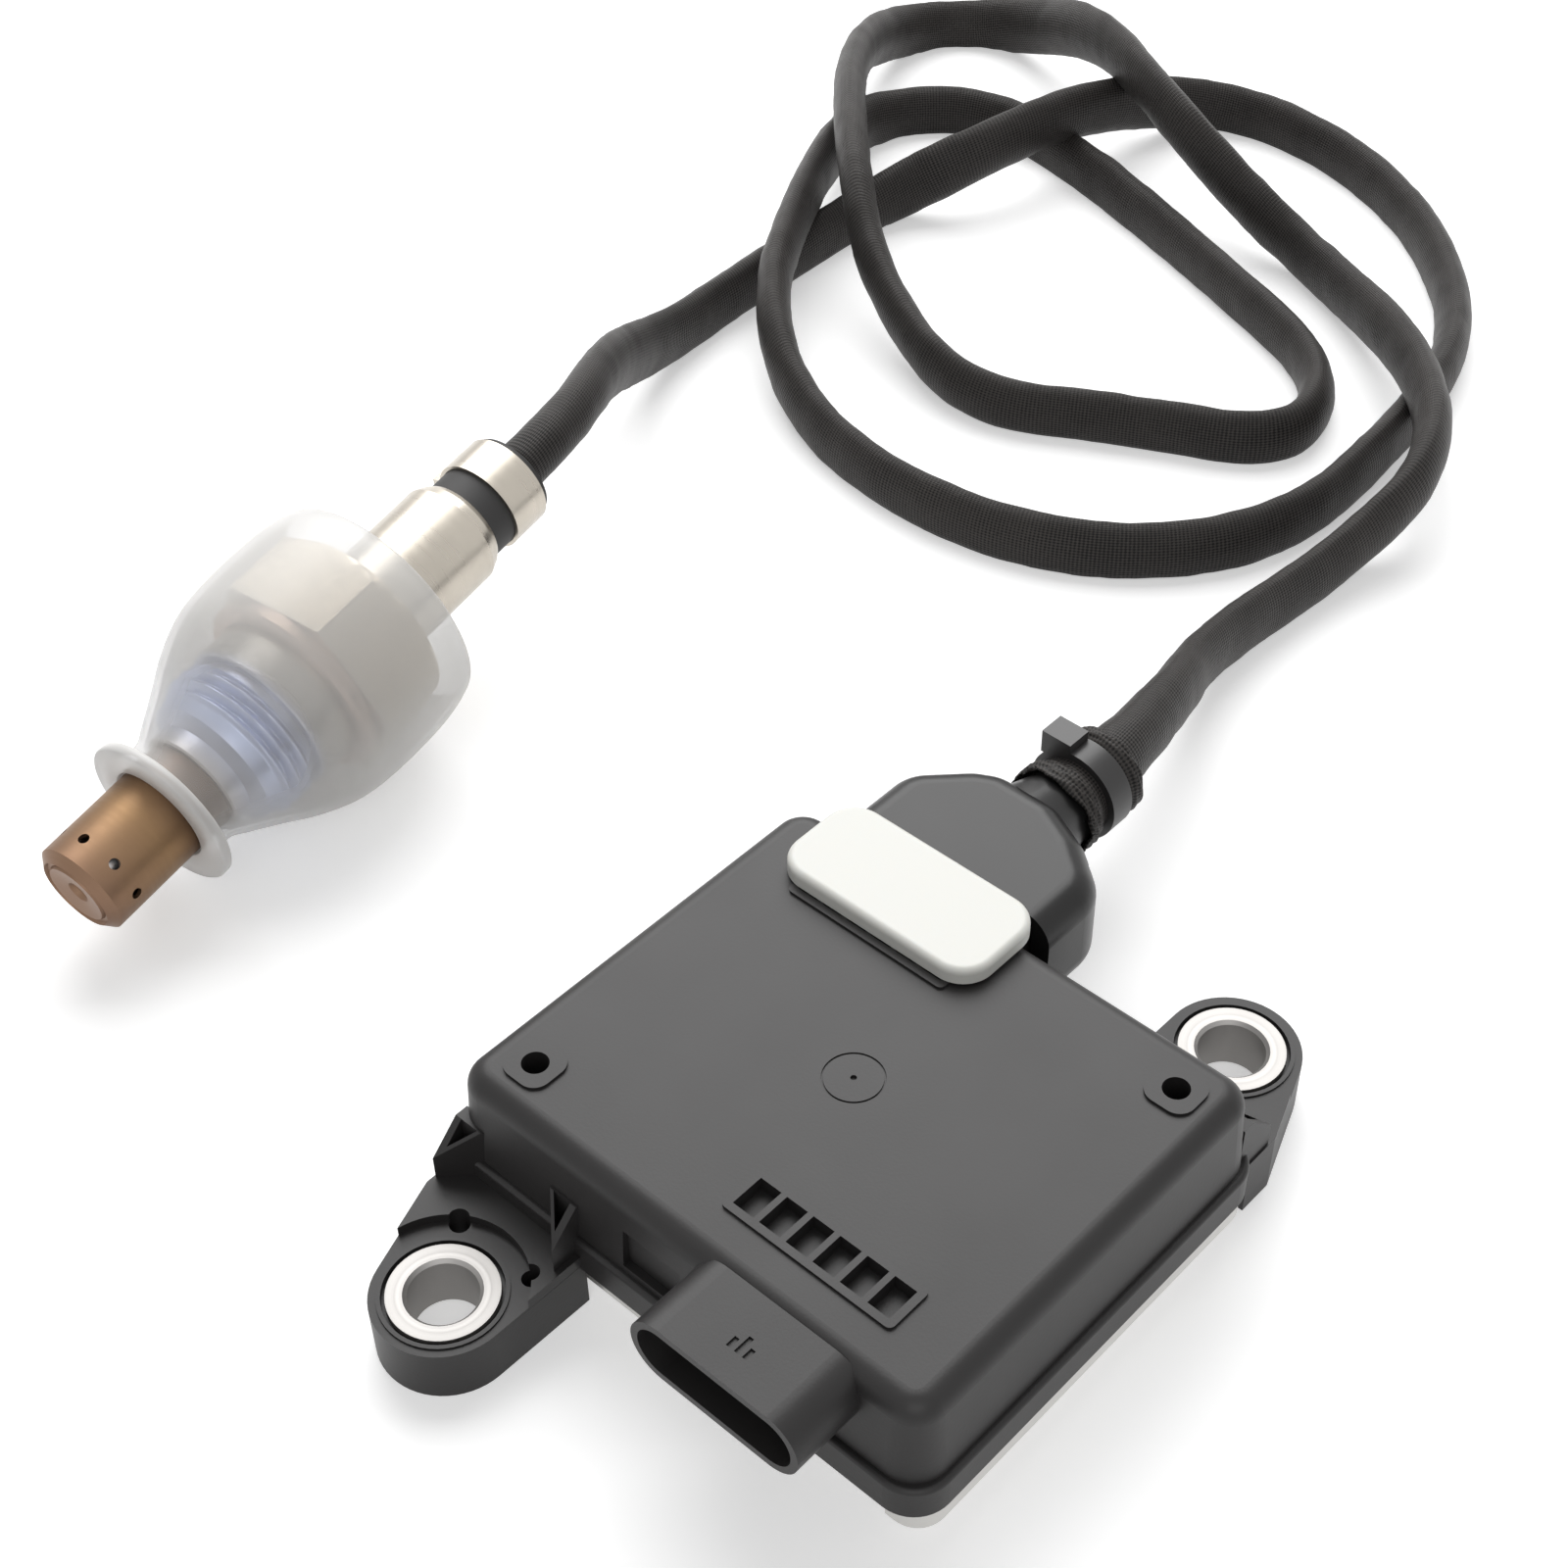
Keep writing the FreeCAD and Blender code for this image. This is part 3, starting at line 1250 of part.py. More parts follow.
CABLE_ROUTE = [
    (-float(size("spigot_across")), float(SPIGOT_END), float(size("spigot_level"))),
    (-13.0, 64.0, 11.0), (-20.0, 83.0, 4.2), (-18.5, 106.0, 3.1), (-15.5, 124.0, 10.2),
    (-29.5, 141.0, 10.2), (-55.0, 159.0, 3.1), (-71.5, 161.0, 8.0), (-86.0, 163.0, 14.8), (-106.0, 174.5, 14.8),
    (-130.0, 186.0, 3.1), (-143.0, 173.5, 3.1), (-131.5, 148.0, 13.0), (-109.0, 123.0, 16.0), (-95.5, 112.0, 7.5),
    (-73.0, 103.0, 3.1), (-54.0, 114.0, 3.1), (-35.5, 122.5, 3.1), (-40.0, 138.5, 3.1), (-62.0, 147.5, 3.1),
    (-94.0, 159.0, 3.1), (-117.0, 163.0, 3.1), (-129.0, 150.0, 3.1), (-121.0, 132.0, 8.0), (-111.0, 113.5, 9.8),
    (-100.5, 96.5, 8.0), (-84.5, 86.5, 3.1), (-60.0, 83.0, 3.1), (-39.0, 90.0, 3.1), (-26.0, 107.5, 3.1),
    (-27.0, 133.0, 3.1), (-32.0, 158.0, 3.1), (-51.5, 178.5, 3.1), (-75.0, 188.0, 3.1), (-94.5, 186.0, 3.1),
    (-100.0, 163.0, 9.6), (-103.0, 144.0, 9.4), (-112.5, 133.0, 3.1), (-112.0, 108.0, 3.1),
    (-109.5, 86.0, 4.0), (-103.4, 73.2, 11.0), (-95.5, 62.0, 18.0), (-87.93, 49.86, 21.26),
    (-86.94, 40.52, 19.82)]


def make_cable():
    """Cable in its sleeve: a round cord of the sleeve's mean thickness along the route."""
    path, radii = rounded_path(CABLE_ROUTE)
    tube = make_tube(CABLE_ROUTE, path, float(size("cable_radius")))
    wanted = math.pi * float(size("cable_radius")) ** 2 * path.Length
    print("cable", round(path.Length, 1), "long, volume ratio", round(tube.Volume / wanted, 4))
    print("bend radii", [round(radius, 1) for radius in radii])
    return add_shape("cable", tube)


def make_everything():
    board_top = BOARD_TOP
    driver_low = size("board_level") - size("driver_thick")
    return [
        make_housing(), make_base_plate(), make_base_screws(), make_gasket(),
        make_sleeve("mount_sleeve_front", 1), make_sleeve("mount_sleeve_rear", -1), make_board(),
        make_block("processor_chip", size("processor_size") * 0.4, size("processor_size") * 0.3, board_top,
                   size("processor_size"), size("processor_size"), size("processor_thick")),
        make_block("driver_chip", -size("driver_size") * 0.8, size("driver_size") * 0.2, driver_low,
                   size("driver_size"), size("driver_size"), size("driver_thick")),
        make_block("thermal_pad", -size("driver_size") * 0.8, size("driver_size") * 0.2, size("lip_bottom"),
                   size("driver_size") + 2, size("driver_size") + 2, driver_low - size("lip_bottom")),
        make_block("crystal", size("processor_size") * 1.3, size("processor_size") * 0.3, board_top,
                   size("crystal_length"), size("crystal_width"), size("crystal_height")),
        make_capacitors(), make_pins(), make_terminals(), make_leads(), make_wire_seal(), make_boot(),
        make_lock_plate(), make_tie(), make_outer_shield(), make_inner_shield(), make_probe_body(),
        make_seal_ring(), make_core(), make_strip(), make_holder(), make_shell(), make_grommet(),
        make_clamp(), make_cap(), make_cable()]


def check_and_write(pieces):
    doc.recompute()
    for thing in doc.Objects:
        if "Invalid" in thing.State or "Error" in thing.State:
            raise RuntimeError(f"{thing.Name} failed: {thing.State}")
    os.makedirs("parts", exist_ok=True)
    for piece in pieces:
        if piece.Shape.isNull() or not piece.Shape.isValid():
            raise RuntimeError(f"{piece.Label} has no valid shape")
        piece.Shape.exportStep(f"parts/{piece.Label}.step")
        box = piece.Shape.BoundBox
        print(piece.Label, len(piece.Shape.Solids), round(piece.Shape.Volume, 1),
              [round(v, 2) for v in (box.XMin, box.YMin, box.ZMin, box.XMax, box.YMax, box.ZMax)])


check_and_write(make_everything())
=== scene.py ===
import bpy
import bmesh
import math
from mathutils import Matrix, Vector


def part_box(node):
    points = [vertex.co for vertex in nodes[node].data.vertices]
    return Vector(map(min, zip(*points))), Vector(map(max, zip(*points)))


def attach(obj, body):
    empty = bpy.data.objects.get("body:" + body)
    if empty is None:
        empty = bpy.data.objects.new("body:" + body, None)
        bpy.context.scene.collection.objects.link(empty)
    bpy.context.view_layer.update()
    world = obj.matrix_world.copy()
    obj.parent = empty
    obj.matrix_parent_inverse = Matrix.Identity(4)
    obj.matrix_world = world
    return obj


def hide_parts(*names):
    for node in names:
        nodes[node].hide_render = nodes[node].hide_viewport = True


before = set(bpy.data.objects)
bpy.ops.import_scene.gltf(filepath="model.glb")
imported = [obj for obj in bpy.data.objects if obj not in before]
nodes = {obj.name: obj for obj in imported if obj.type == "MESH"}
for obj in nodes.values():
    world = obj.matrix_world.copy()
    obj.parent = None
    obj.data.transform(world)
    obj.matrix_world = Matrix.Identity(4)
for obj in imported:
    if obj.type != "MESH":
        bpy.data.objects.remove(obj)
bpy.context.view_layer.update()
print("frame loaded,", len(nodes), "nodes")

mm = 0.001


# camera: seen from above the module's front right corner
cameraLook = {
    "place": (0.09875, -0.11305, 0.19897),
    "forward": (-0.49526, 0.52538, -0.69187),
    "right": (0.73691, 0.67584, -0.01430),
    "up": (-0.4601, 0.5169, 0.7219),
    "lens": 59.96,
    "sensor": 36.0,
}


def makeCamera(look):
    data = bpy.data.cameras.new("productCamera")
    data.sensor_width = look["sensor"]
    data.sensor_fit = "HORIZONTAL"
    data.lens = look["lens"]
    data.clip_start = 0.01
    data.clip_end = 20.0
    camera = bpy.data.objects.new("productCamera", data)
    axes = [Vector(look["right"]), Vector(look["up"]), -Vector(look["forward"])]
    turn = Matrix((axes[0], axes[1], axes[2])).transposed().to_4x4()
    camera.matrix_world = Matrix.Translation(look["place"]) @ turn
    bpy.context.scene.collection.objects.link(camera)
    bpy.context.scene.camera = camera
    return camera


makeCamera(cameraLook)
print("camera placed")


# node helpers

def newMaterial(name):
    material = bpy.data.materials.new(name)
    material.use_nodes = True
    tree = material.node_tree
    tree.nodes.clear()
    output = tree.nodes.new("ShaderNodeOutputMaterial")
    shader = tree.nodes.new("ShaderNodeBsdfPrincipled")
    tree.links.new(shader.outputs["BSDF"], output.inputs["Surface"])
    return material, tree, shader


def addNode(tree, kind, settings=None, **inputs):
    node = tree.nodes.new(kind)
    for key, value in (settings or {}).items():
        setattr(node, key, value)
    for key, value in inputs.items():
        socket = node.inputs[key.replace("_", " ")]
        if isinstance(value, bpy.types.NodeSocket):
            tree.links.new(value, socket)
        else:
            socket.default_value = value
    return node


def wire(tree, node, *values):
    # sockets in order, for nodes whose inputs share a name
    for socket, value in zip(node.inputs, values):
        if isinstance(value, bpy.types.NodeSocket):
            tree.links.new(value, socket)
        else:
            socket.default_value = value
    return node


def number(tree, operation, first, second=0.0, third=0.0):
    node = addNode(tree, "ShaderNodeMath", {"operation": operation})
    return wire(tree, node, first, second, third).outputs[0]


def vector(tree, operation, first, second=None, scale=None):
    node = addNode(tree, "ShaderNodeVectorMath", {"operation": operation})
    if second is None:
        wire(tree, node, first)
    else:
        wire(tree, node, first, second)
    if scale is not None:
        tree.links.new(scale, node.inputs["Scale"])
    return node.outputs["Value" if operation in ("DOT_PRODUCT", "LENGTH") else "Vector"]


def remap(tree, value, low=0.0, high=1.0, lowResult=0.0, highResult=1.0):
    node = addNode(tree, "ShaderNodeMapRange", Value=value, From_Min=low, From_Max=high,
                   To_Min=lowResult, To_Max=highResult)
    return node.outputs["Result"]


def addRamp(tree, factor, stops):
    ramp = tree.nodes.new("ShaderNodeValToRGB")
    tree.links.new(factor, ramp.inputs["Fac"])
    elements = ramp.color_ramp.elements
    while len(elements) < len(stops):
        elements.new(0.5)
    for element, (position, colour) in zip(elements, stops):
        element.position = position
        element.color = (*colour, 1.0)
    return ramp.outputs["Color"]


def newGroup(name, inputs, outputs):
    group = bpy.data.node_groups.new(name, "ShaderNodeTree")
    for label, kind, value in inputs:
        socket = group.interface.new_socket(label, in_out="INPUT", socket_type=kind)
        if value is not None:
            socket.default_value = value
    for label, kind in outputs:
        group.interface.new_socket(label, in_out="OUTPUT", socket_type=kind)
    entry = group.nodes.new("NodeGroupInput")
    leave = group.nodes.new("NodeGroupOutput")
    return group, entry, leave


def placeGroup(tree, group, **inputs):
    node = tree.nodes.new("ShaderNodeGroup")
    node.node_tree = group
    for key, value in inputs.items():
        socket = node.inputs[key]
        if isinstance(value, bpy.types.NodeSocket):
            tree.links.new(value, socket)
        else:
            socket.default_value = value
    return node


def makeMottleGroup():
    # soft colour drift and fine grain for moulded and cast surfaces
    group, entry, leave = newGroup("surfaceMottle", [
        ("Base", "NodeSocketColor", (0.5, 0.5, 0.5, 1.0)),
        ("Drift", "NodeSocketFloat", 0.1),
        ("Patch", "NodeSocketFloat", 60.0),
        ("Grain", "NodeSocketFloat", 2500.0),
        ("Roughness", "NodeSocketFloat", 0.5),
        ("Uneven", "NodeSocketFloat", 0.08),
    ], [("Color", "NodeSocketColor"), ("Roughness", "NodeSocketFloat"), ("Height", "NodeSocketFloat")])
    place = addNode(group, "ShaderNodeTexCoord").outputs["Object"]
    patch = addNode(group, "ShaderNodeTexNoise", Vector=place, Scale=entry.outputs["Patch"], Detail=4.0)
    grain = addNode(group, "ShaderNodeTexNoise", Vector=place, Scale=entry.outputs["Grain"], Detail=2.0)
    centred = number(group, "SUBTRACT", patch.outputs["Fac"], 0.5)
    drift = number(group, "MULTIPLY_ADD", centred, entry.outputs["Drift"], 1.0)
    tint = vector(group, "SCALE", entry.outputs["Base"], scale=drift)
    rough = number(group, "MULTIPLY_ADD", centred, entry.outputs["Uneven"], entry.outputs["Roughness"])
    group.links.new(tint, leave.inputs["Color"])
    group.links.new(rough, leave.inputs["Roughness"])
    group.links.new(grain.outputs["Fac"], leave.inputs["Height"])
    return group


def makeScratchGroup():
    # fine turning or drawing lines, stretched along one axis of the mapping
    group, entry, leave = newGroup("toolLines", [
        ("Vector", "NodeSocketVector", None),
        ("Across", "NodeSocketFloat", 4000.0),
        ("Along", "NodeSocketFloat", 30.0),
        ("Roughness", "NodeSocketFloat", 0.3),
        ("Spread", "NodeSocketFloat", 0.15),
    ], [("Roughness", "NodeSocketFloat"), ("Height", "NodeSocketFloat")])
    stretch = addNode(group, "ShaderNodeCombineXYZ")
    for axis, label in (("X", "Across"), ("Y", "Along"), ("Z", "Along")):
        group.links.new(entry.outputs[label], stretch.inputs[axis])
    scaled = vector(group, "MULTIPLY", entry.outputs["Vector"], stretch.outputs[0])
    lines = addNode(group, "ShaderNodeTexNoise", Vector=scaled, Scale=1.0, Detail=3.0)
    rough = number(group, "MULTIPLY_ADD", lines.outputs["Fac"], entry.outputs["Spread"],
                   entry.outputs["Roughness"])
    group.links.new(rough, leave.inputs["Roughness"])
    group.links.new(lines.outputs["Fac"], leave.inputs["Height"])
    return group


mottleGroup = makeMottleGroup()
scratchGroup = makeScratchGroup()


def addBump(tree, shader, height, strength, distance):
    bump = addNode(tree, "ShaderNodeBump", Height=height, Strength=strength, Distance=distance)
    tree.links.new(bump.outputs["Normal"], shader.inputs["Normal"])
    return bump


def mottledMaterial(name, look):
    # moulded plastic, rubber, ceramic or cast metal
    material, tree, shader = newMaterial(name)
    surface = placeGroup(tree, mottleGroup, Base=(*look["colour"], 1.0), Drift=look.get("drift", 0.12),
                         Patch=look.get("patch", 60.0), Grain=look.get("grain", 2500.0),
                         Roughness=look["roughness"], Uneven=look.get("uneven", 0.08))
    tree.links.new(surface.outputs["Color"], shader.inputs["Base Color"])
    tree.links.new(surface.outputs["Roughness"], shader.inputs["Roughness"])
    addBump(tree, shader, surface.outputs["Height"], look.get("bump", 0.15), look.get("depth", 0.00005))
    shader.inputs["Metallic"].default_value = look.get("metal", 0.0)
    shader.inputs["Specular IOR Level"].default_value = look.get("specular", 0.5)
    shader.inputs["Subsurface Weight"].default_value = look.get("subsurface", 0.0)
    shader.inputs["Subsurface Radius"].default_value = (0.003, 0.0025, 0.002)
    return material


plainLooks = {
    "housingPlastic": {"colour": (0.018, 0.0168, 0.0168), "roughness": 0.44, "drift": 0.10, "patch": 90.0,
                       "grain": 3200.0, "bump": 0.22, "depth": 0.00004, "specular": 0.36},
    "bootPlastic": {"colour": (0.012, 0.0115, 0.0115), "roughness": 0.32, "specular": 0.32,
                    "grain": 2600.0, "bump": 0.12, "depth": 0.00004},
    "castAluminium": {"colour": (0.66, 0.65, 0.63), "roughness": 0.42, "metal": 1.0, "grain": 1800.0,
                      "bump": 0.35, "depth": 0.00006},
    "screwSteel": {"colour": (0.6, 0.6, 0.62), "roughness": 0.35, "metal": 1.0, "bump": 0.1},
    "greyRubber": {"colour": (0.2, 0.2, 0.21), "roughness": 0.75},
    "chipResin": {"colour": (0.03, 0.03, 0.035), "roughness": 0.55, "grain": 4000.0},
    "canAluminium": {"colour": (0.75, 0.75, 0.76), "roughness": 0.32, "metal": 1.0},
    "tinnedMetal": {"colour": (0.78, 0.72, 0.58), "roughness": 0.28, "metal": 1.0, "bump": 0.08},
    "leadRubber": {"colour": (0.5, 0.09, 0.06), "roughness": 0.5},
    "blackRubber": {"colour": (0.025, 0.024, 0.024), "roughness": 0.62, "grain": 1500.0},
    "whitePlastic": {"colour": (0.72, 0.72, 0.68), "roughness": 0.42, "drift": 0.03, "grain": 1500.0,
                     "bump": 0.08, "subsurface": 0.15},
    "tiePlastic": {"colour": (0.022, 0.021, 0.021), "roughness": 0.38, "bump": 0.06},
    "whiteCeramic": {"colour": (0.82, 0.81, 0.77), "roughness": 0.55, "drift": 0.06, "subsurface": 0.1},
    "copperRing": {"colour": (0.6, 0.45, 0.36), "roughness": 0.3, "metal": 1.0, "bump": 0.1},
}
materials = {name: mottledMaterial(name, look) for name, look in plainLooks.items()}


# board: green lacquer over a fine glass weave with paler tracks
boardLook = {
    "lacquer": (0.02, 0.12, 0.05), "track": (0.05, 0.24, 0.1), "trackScale": 260.0, "weaveScale": 900.0,
}


def boardMaterial(look):
    material, tree, shader = newMaterial("boardLaminate")
    place = addNode(tree, "ShaderNodeTexCoord").outputs["Object"]
    tracks = addNode(tree, "ShaderNodeTexVoronoi", {"distance": "MANHATTAN"}, Vector=place,
                     Scale=look["trackScale"])
    colour = addRamp(tree, tracks.outputs["Distance"], [(0.35, look["lacquer"]), (0.42, look["track"])])
    weave = addNode(tree, "ShaderNodeTexChecker", Vector=place, Scale=look["weaveScale"])
    tree.links.new(colour, shader.inputs["Base Color"])
    shader.inputs["Roughness"].default_value = 0.3
    addBump(tree, shader, weave.outputs["Fac"], 0.1, 0.00003)
    return material


materials["boardLaminate"] = boardMaterial(boardLook)


# turned sleeves: rings round each sleeve's own axis
sleeveLook = {"colour": (0.33, 0.32, 0.31), "rings": 2600.0, "roughness": 0.36, "spread": 0.3}


def turnedMaterial(name, centre, look):
    material, tree, shader = newMaterial(name)
    place = addNode(tree, "ShaderNodeTexCoord").outputs["Object"]
    centred = vector(tree, "SUBTRACT", place, (centre[0], centre[1], 0.0))
    flat = vector(tree, "MULTIPLY", centred, (1.0, 1.0, 0.0))
    spread = addNode(tree, "ShaderNodeCombineXYZ", X=vector(tree, "LENGTH", flat))
    lines = placeGroup(tree, scratchGroup, Vector=spread.outputs[0], Across=look["rings"], Along=1.0,
                       Roughness=look["roughness"], Spread=look["spread"])
    surface = placeGroup(tree, mottleGroup, Base=(*look["colour"], 1.0), Drift=0.15, Patch=220.0)
    tree.links.new(surface.outputs["Color"], shader.inputs["Base Color"])
    tree.links.new(lines.outputs["Roughness"], shader.inputs["Roughness"])
    shader.inputs["Metallic"].default_value = 1.0
    addBump(tree, shader, lines.outputs["Height"], 0.12, 0.00003)
    return material


def middleOf(node):
    low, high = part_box(node)
    return [(a + b) / 2 for a, b in zip(low, high)]


for sleeveNode in ("mount_sleeve_front", "mount_sleeve_rear"):
    materials[sleeveNode] = turnedMaterial(sleeveNode + "_turned", middleOf(sleeveNode), sleeveLook)


# probe: its axis starts at the cap's flange and runs up to the cable
probeLook = {
    "start": (-0.0809, -0.01699, 0.01097),
    "axis": (-0.10333, 0.98307, 0.15126),
    "shieldFront": -11.8 * mm,
    "shieldBack": 1.0 * mm,
    "alongLines": 60.0,
}
probeStart = Vector(probeLook["start"])
probeAxis = Vector(probeLook["axis"]).normalized()
probeSide = Vector((0, 0, 1)).cross(probeAxis).normalized()
probeUp = probeAxis.cross(probeSide)


def alongProbe(tree):
    # station along the probe's axis, and its two cross distances, from Object coordinates
    place = addNode(tree, "ShaderNodeTexCoord").outputs["Object"]
    shifted = vector(tree, "SUBTRACT", place, probeStart)
    values = [vector(tree, "DOT_PRODUCT", shifted, axis) for axis in (probeAxis, probeSide, probeUp)]
    own = addNode(tree, "ShaderNodeCombineXYZ", X=values[0], Y=values[1], Z=values[2])
    return values[0], own.outputs[0]


def finishSteel(tree, shader, own, colour, look):
    # fine lines shared by every steel finish on the probe
    lines = placeGroup(tree, scratchGroup, Vector=own, Across=look["across"], Along=probeLook["alongLines"],
                       Roughness=look["roughness"], Spread=look["spread"])
    tree.links.new(colour, shader.inputs["Base Color"])
    tree.links.new(lines.outputs["Roughness"], shader.inputs["Roughness"])
    shader.inputs["Metallic"].default_value = 1.0
    addBump(tree, shader, lines.outputs["Height"], look["bump"], 0.03 * mm)


steelLooks = {
    "machinedSteel": {"colour": (0.6, 0.6, 0.61), "roughness": 0.24, "spread": 0.18, "across": 3500.0,
                      "bump": 0.08},
    "brightSteel": {"colour": (0.5, 0.46, 0.4), "roughness": 0.2, "spread": 0.2, "across": 1200.0,
                    "bump": 0.08},
}


def steelMaterial(name, look):
    material, tree, shader = newMaterial(name)
    own = alongProbe(tree)[1]
    surface = placeGroup(tree, mottleGroup, Base=(*look["colour"], 1.0), Drift=0.35, Patch=130.0)
    finishSteel(tree, shader, own, surface.outputs["Color"], look)
    return material


# shield: heat tint in straw near the tip, darkened to brown at the root by painted shade where it meets the
# cap's flange
shieldTintAndShadeLook = {
    # the last stop is painted shade: the straw tint made darker at the root by the cap's flange
    "stops": [(0.0, (0.22, 0.135, 0.09)), (0.3, (0.235, 0.145, 0.087)), (0.7, (0.25, 0.155, 0.083)),
              (1.0, (0.15, 0.09, 0.055))],
    "patch": 240.0,
    "shift": 3.0 * mm,
    "across": 2500.0,
    "roughness": 0.36,
    "spread": 0.2,
    "bump": 0.1,
}


def shieldTintAndShadeMaterial(look):
    material, tree, shader = newMaterial("tintAndShadeSteel")
    station, own = alongProbe(tree)
    drift = addNode(tree, "ShaderNodeTexNoise", Vector=own, Scale=look["patch"], Detail=4.0)
    shifted = number(tree, "MULTIPLY_ADD", drift.outputs["Fac"], look["shift"], station)
    middle = look["shift"] / 2
    span = remap(tree, shifted, probeLook["shieldFront"] + middle, probeLook["shieldBack"] + middle)
    # straw heat tint along the shield, with painted shade at its root
    colour = addRamp(tree, span, look["stops"])
    finishSteel(tree, shader, own, colour, look)
    return material


# plated thread with a bluish film, grey collar and a warm hexagon
platingLook = {
    "from": 5.0 * mm,
    "to": 35.0 * mm,
    "stops": [(0.0, (0.55, 0.52, 0.5)), (0.14, (0.5, 0.56, 0.74)), (0.31, (0.46, 0.51, 0.68)),
              (0.38, (0.5, 0.48, 0.45)), (0.54, (0.58, 0.54, 0.47)), (0.6, (0.7, 0.62, 0.5))],
    "across": 3500.0,
    "roughness": 0.26,
    "spread": 0.2,
    "bump": 0.08,
}


def fittingMaterial(look):
    material, tree, shader = newMaterial("fittingSteel")
    station, own = alongProbe(tree)
    colour = addRamp(tree, remap(tree, station, look["from"], look["to"]), look["stops"])
    finishSteel(tree, shader, own, colour, look)
    return material


for steelName, steelLook in steelLooks.items():
    materials[steelName] = steelMaterial(steelName, steelLook)
materials["tintAndShadeSteel"] = shieldTintAndShadeMaterial(shieldTintAndShadeLook)
materials["fittingSteel"] = fittingMaterial(platingLook)


nodeFinishes = {
    "module_housing": "housingPlastic", "base_plate": "castAluminium", "base_screws": "screwSteel",
    "base_gasket": "greyRubber", "thermal_pad": "greyRubber", "mount_sleeve_front": "mount_sleeve_front",
    "mount_sleeve_rear": "mount_sleeve_rear", "circuit_board": "boardLaminate",
    "processor_chip": "chipResin", "driver_chip": "chipResin", "crystal": "canAluminium",
    "capacitors": "canAluminium", "connector_pins": "tinnedMetal", "lead_terminals": "tinnedMetal",
    "lead_wires": "leadRubber", "wire_seal": "blackRubber", "cable_grommet": "blackRubber",
    "cable_boot": "bootPlastic", "lock_plate": "whitePlastic", "sleeve_tie": "tiePlastic",
    "outer_shield": "tintAndShadeSteel", "inner_shield": "machinedSteel", "probe_body": "machinedSteel",
    "seal_ring": "copperRing", "ceramic_core": "whiteCeramic", "sensing_strip": "whiteCeramic",
    "contact_holder": "whiteCeramic", "upper_shell": "brightSteel", "sleeve_clamp": "brightSteel",
}


def dressNodes(finishes):
    for node, finish in finishes.items():
        for place in nodes[node].material_slots:
            place.material = materials[finish]


dressNodes(nodeFinishes)
print("CAD nodes dressed,", len(materials), "materials")


# mesh helpers

def addPiece(name, mesh, material):
    piece = bpy.data.objects.new(name, mesh)
    bpy.context.scene.collection.objects.link(piece)
    mesh.materials.clear()
    mesh.materials.append(material)
    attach(piece, "root")
    return piece


def tubeMesh(name, rings, uvs=None):
    # rings of points joined in order, open at both ends; every ring has the same count
    count = len(rings[0])
    vertices = [point for ring in rings for point in ring]
    faces = []
    for row in range(len(rings) - 1):
        for column in range(count):
            after = (column + 1) % count
            faces.append((row * count + column, row * count + after,
                          (row + 1) * count + after, (row + 1) * count + column))
    mesh = bpy.data.meshes.new(name)
    mesh.from_pydata([tuple(vertex) for vertex in vertices], [], faces)
    build = bmesh.new()
    build.from_mesh(mesh)
    bmesh.ops.recalc_face_normals(build, faces=build.faces)
    build.to_mesh(mesh)
    build.free()
    if uvs:
        layer = mesh.uv_layers.new(name="UVMap")
        for face in mesh.polygons:
            columns = [mesh.loops[loop].vertex_index % count for loop in face.loop_indices]
            wraps = max(columns) - min(columns) > 1
            for loop in face.loop_indices:
                row, column = divmod(mesh.loops[loop].vertex_index, count)
                turn = column + count if wraps and column == 0 else column
                layer.data[loop].uv = (turn / count, uvs[row])
    for face in mesh.polygons:
        face.use_smooth = True
    return mesh


def closeSeams(mesh):
    # joins doubled points, fills open ends and turns faces outwards
    build = bmesh.new()
    build.from_mesh(mesh)
    bmesh.ops.remove_doubles(build, verts=build.verts, dist=1e-7)
    rims = [edge for edge in build.edges if edge.is_boundary]
    if rims:
        bmesh.ops.holes_fill(build, edges=rims, sides=0)
    bmesh.ops.recalc_face_normals(build, faces=build.faces)
    build.to_mesh(mesh)
    build.free()
    for face in mesh.polygons:
        face.use_smooth = True


# Geometry Nodes helpers

def newGeometryTree(name, inputs):
    tree = bpy.data.node_groups.new(name, "GeometryNodeTree")
    tree.interface.new_socket("Geometry", in_out="INPUT", socket_type="NodeSocketGeometry")
    for label, kind in inputs:
        tree.interface.new_socket(label, in_out="INPUT", socket_type=kind)
    tree.interface.new_socket("Geometry", in_out="OUTPUT", socket_type="NodeSocketGeometry")
    return tree, tree.nodes.new("NodeGroupInput"), tree.nodes.new("NodeGroupOutput")


def capture(tree, geometry, domain, kind, value):
    node = tree.nodes.new("GeometryNodeCaptureAttribute")
    node.domain = domain
    node.capture_items.new(kind, "kept")
    tree.links.new(geometry, node.inputs["Geometry"])
    tree.links.new(value, node.inputs[1])
    return node.outputs["Geometry"], node.outputs[1]


def finishTree(tree, leave, geometry, material):
    real = addNode(tree, "GeometryNodeRealizeInstances", Geometry=geometry)
    painted = addNode(tree, "GeometryNodeSetMaterial", Geometry=real.outputs[0], Material=material)
    tree.links.new(painted.outputs[0], leave.inputs["Geometry"])


def runTree(name, source, tree, values):
    # evaluates the tree on a carrier mesh and keeps the result as a plain mesh
    carrier = bpy.data.objects.new(name + "_carrier", source)
    bpy.context.scene.collection.objects.link(carrier)
    modifier = carrier.modifiers.new("build", "NODES")
    modifier.node_group = tree
    sockets = {item.name: item.identifier for item in tree.interface.items_tree if item.in_out == "INPUT"}
    for label, value in values.items():
        modifier[sockets[label]] = value
    bpy.context.view_layer.update()
    shown = carrier.evaluated_get(bpy.context.evaluated_depsgraph_get())
    mesh = bpy.data.meshes.new_from_object(shown)
    mesh.name = name
    carrier.modifiers.remove(modifier)
    bpy.data.objects.remove(carrier)
    return mesh


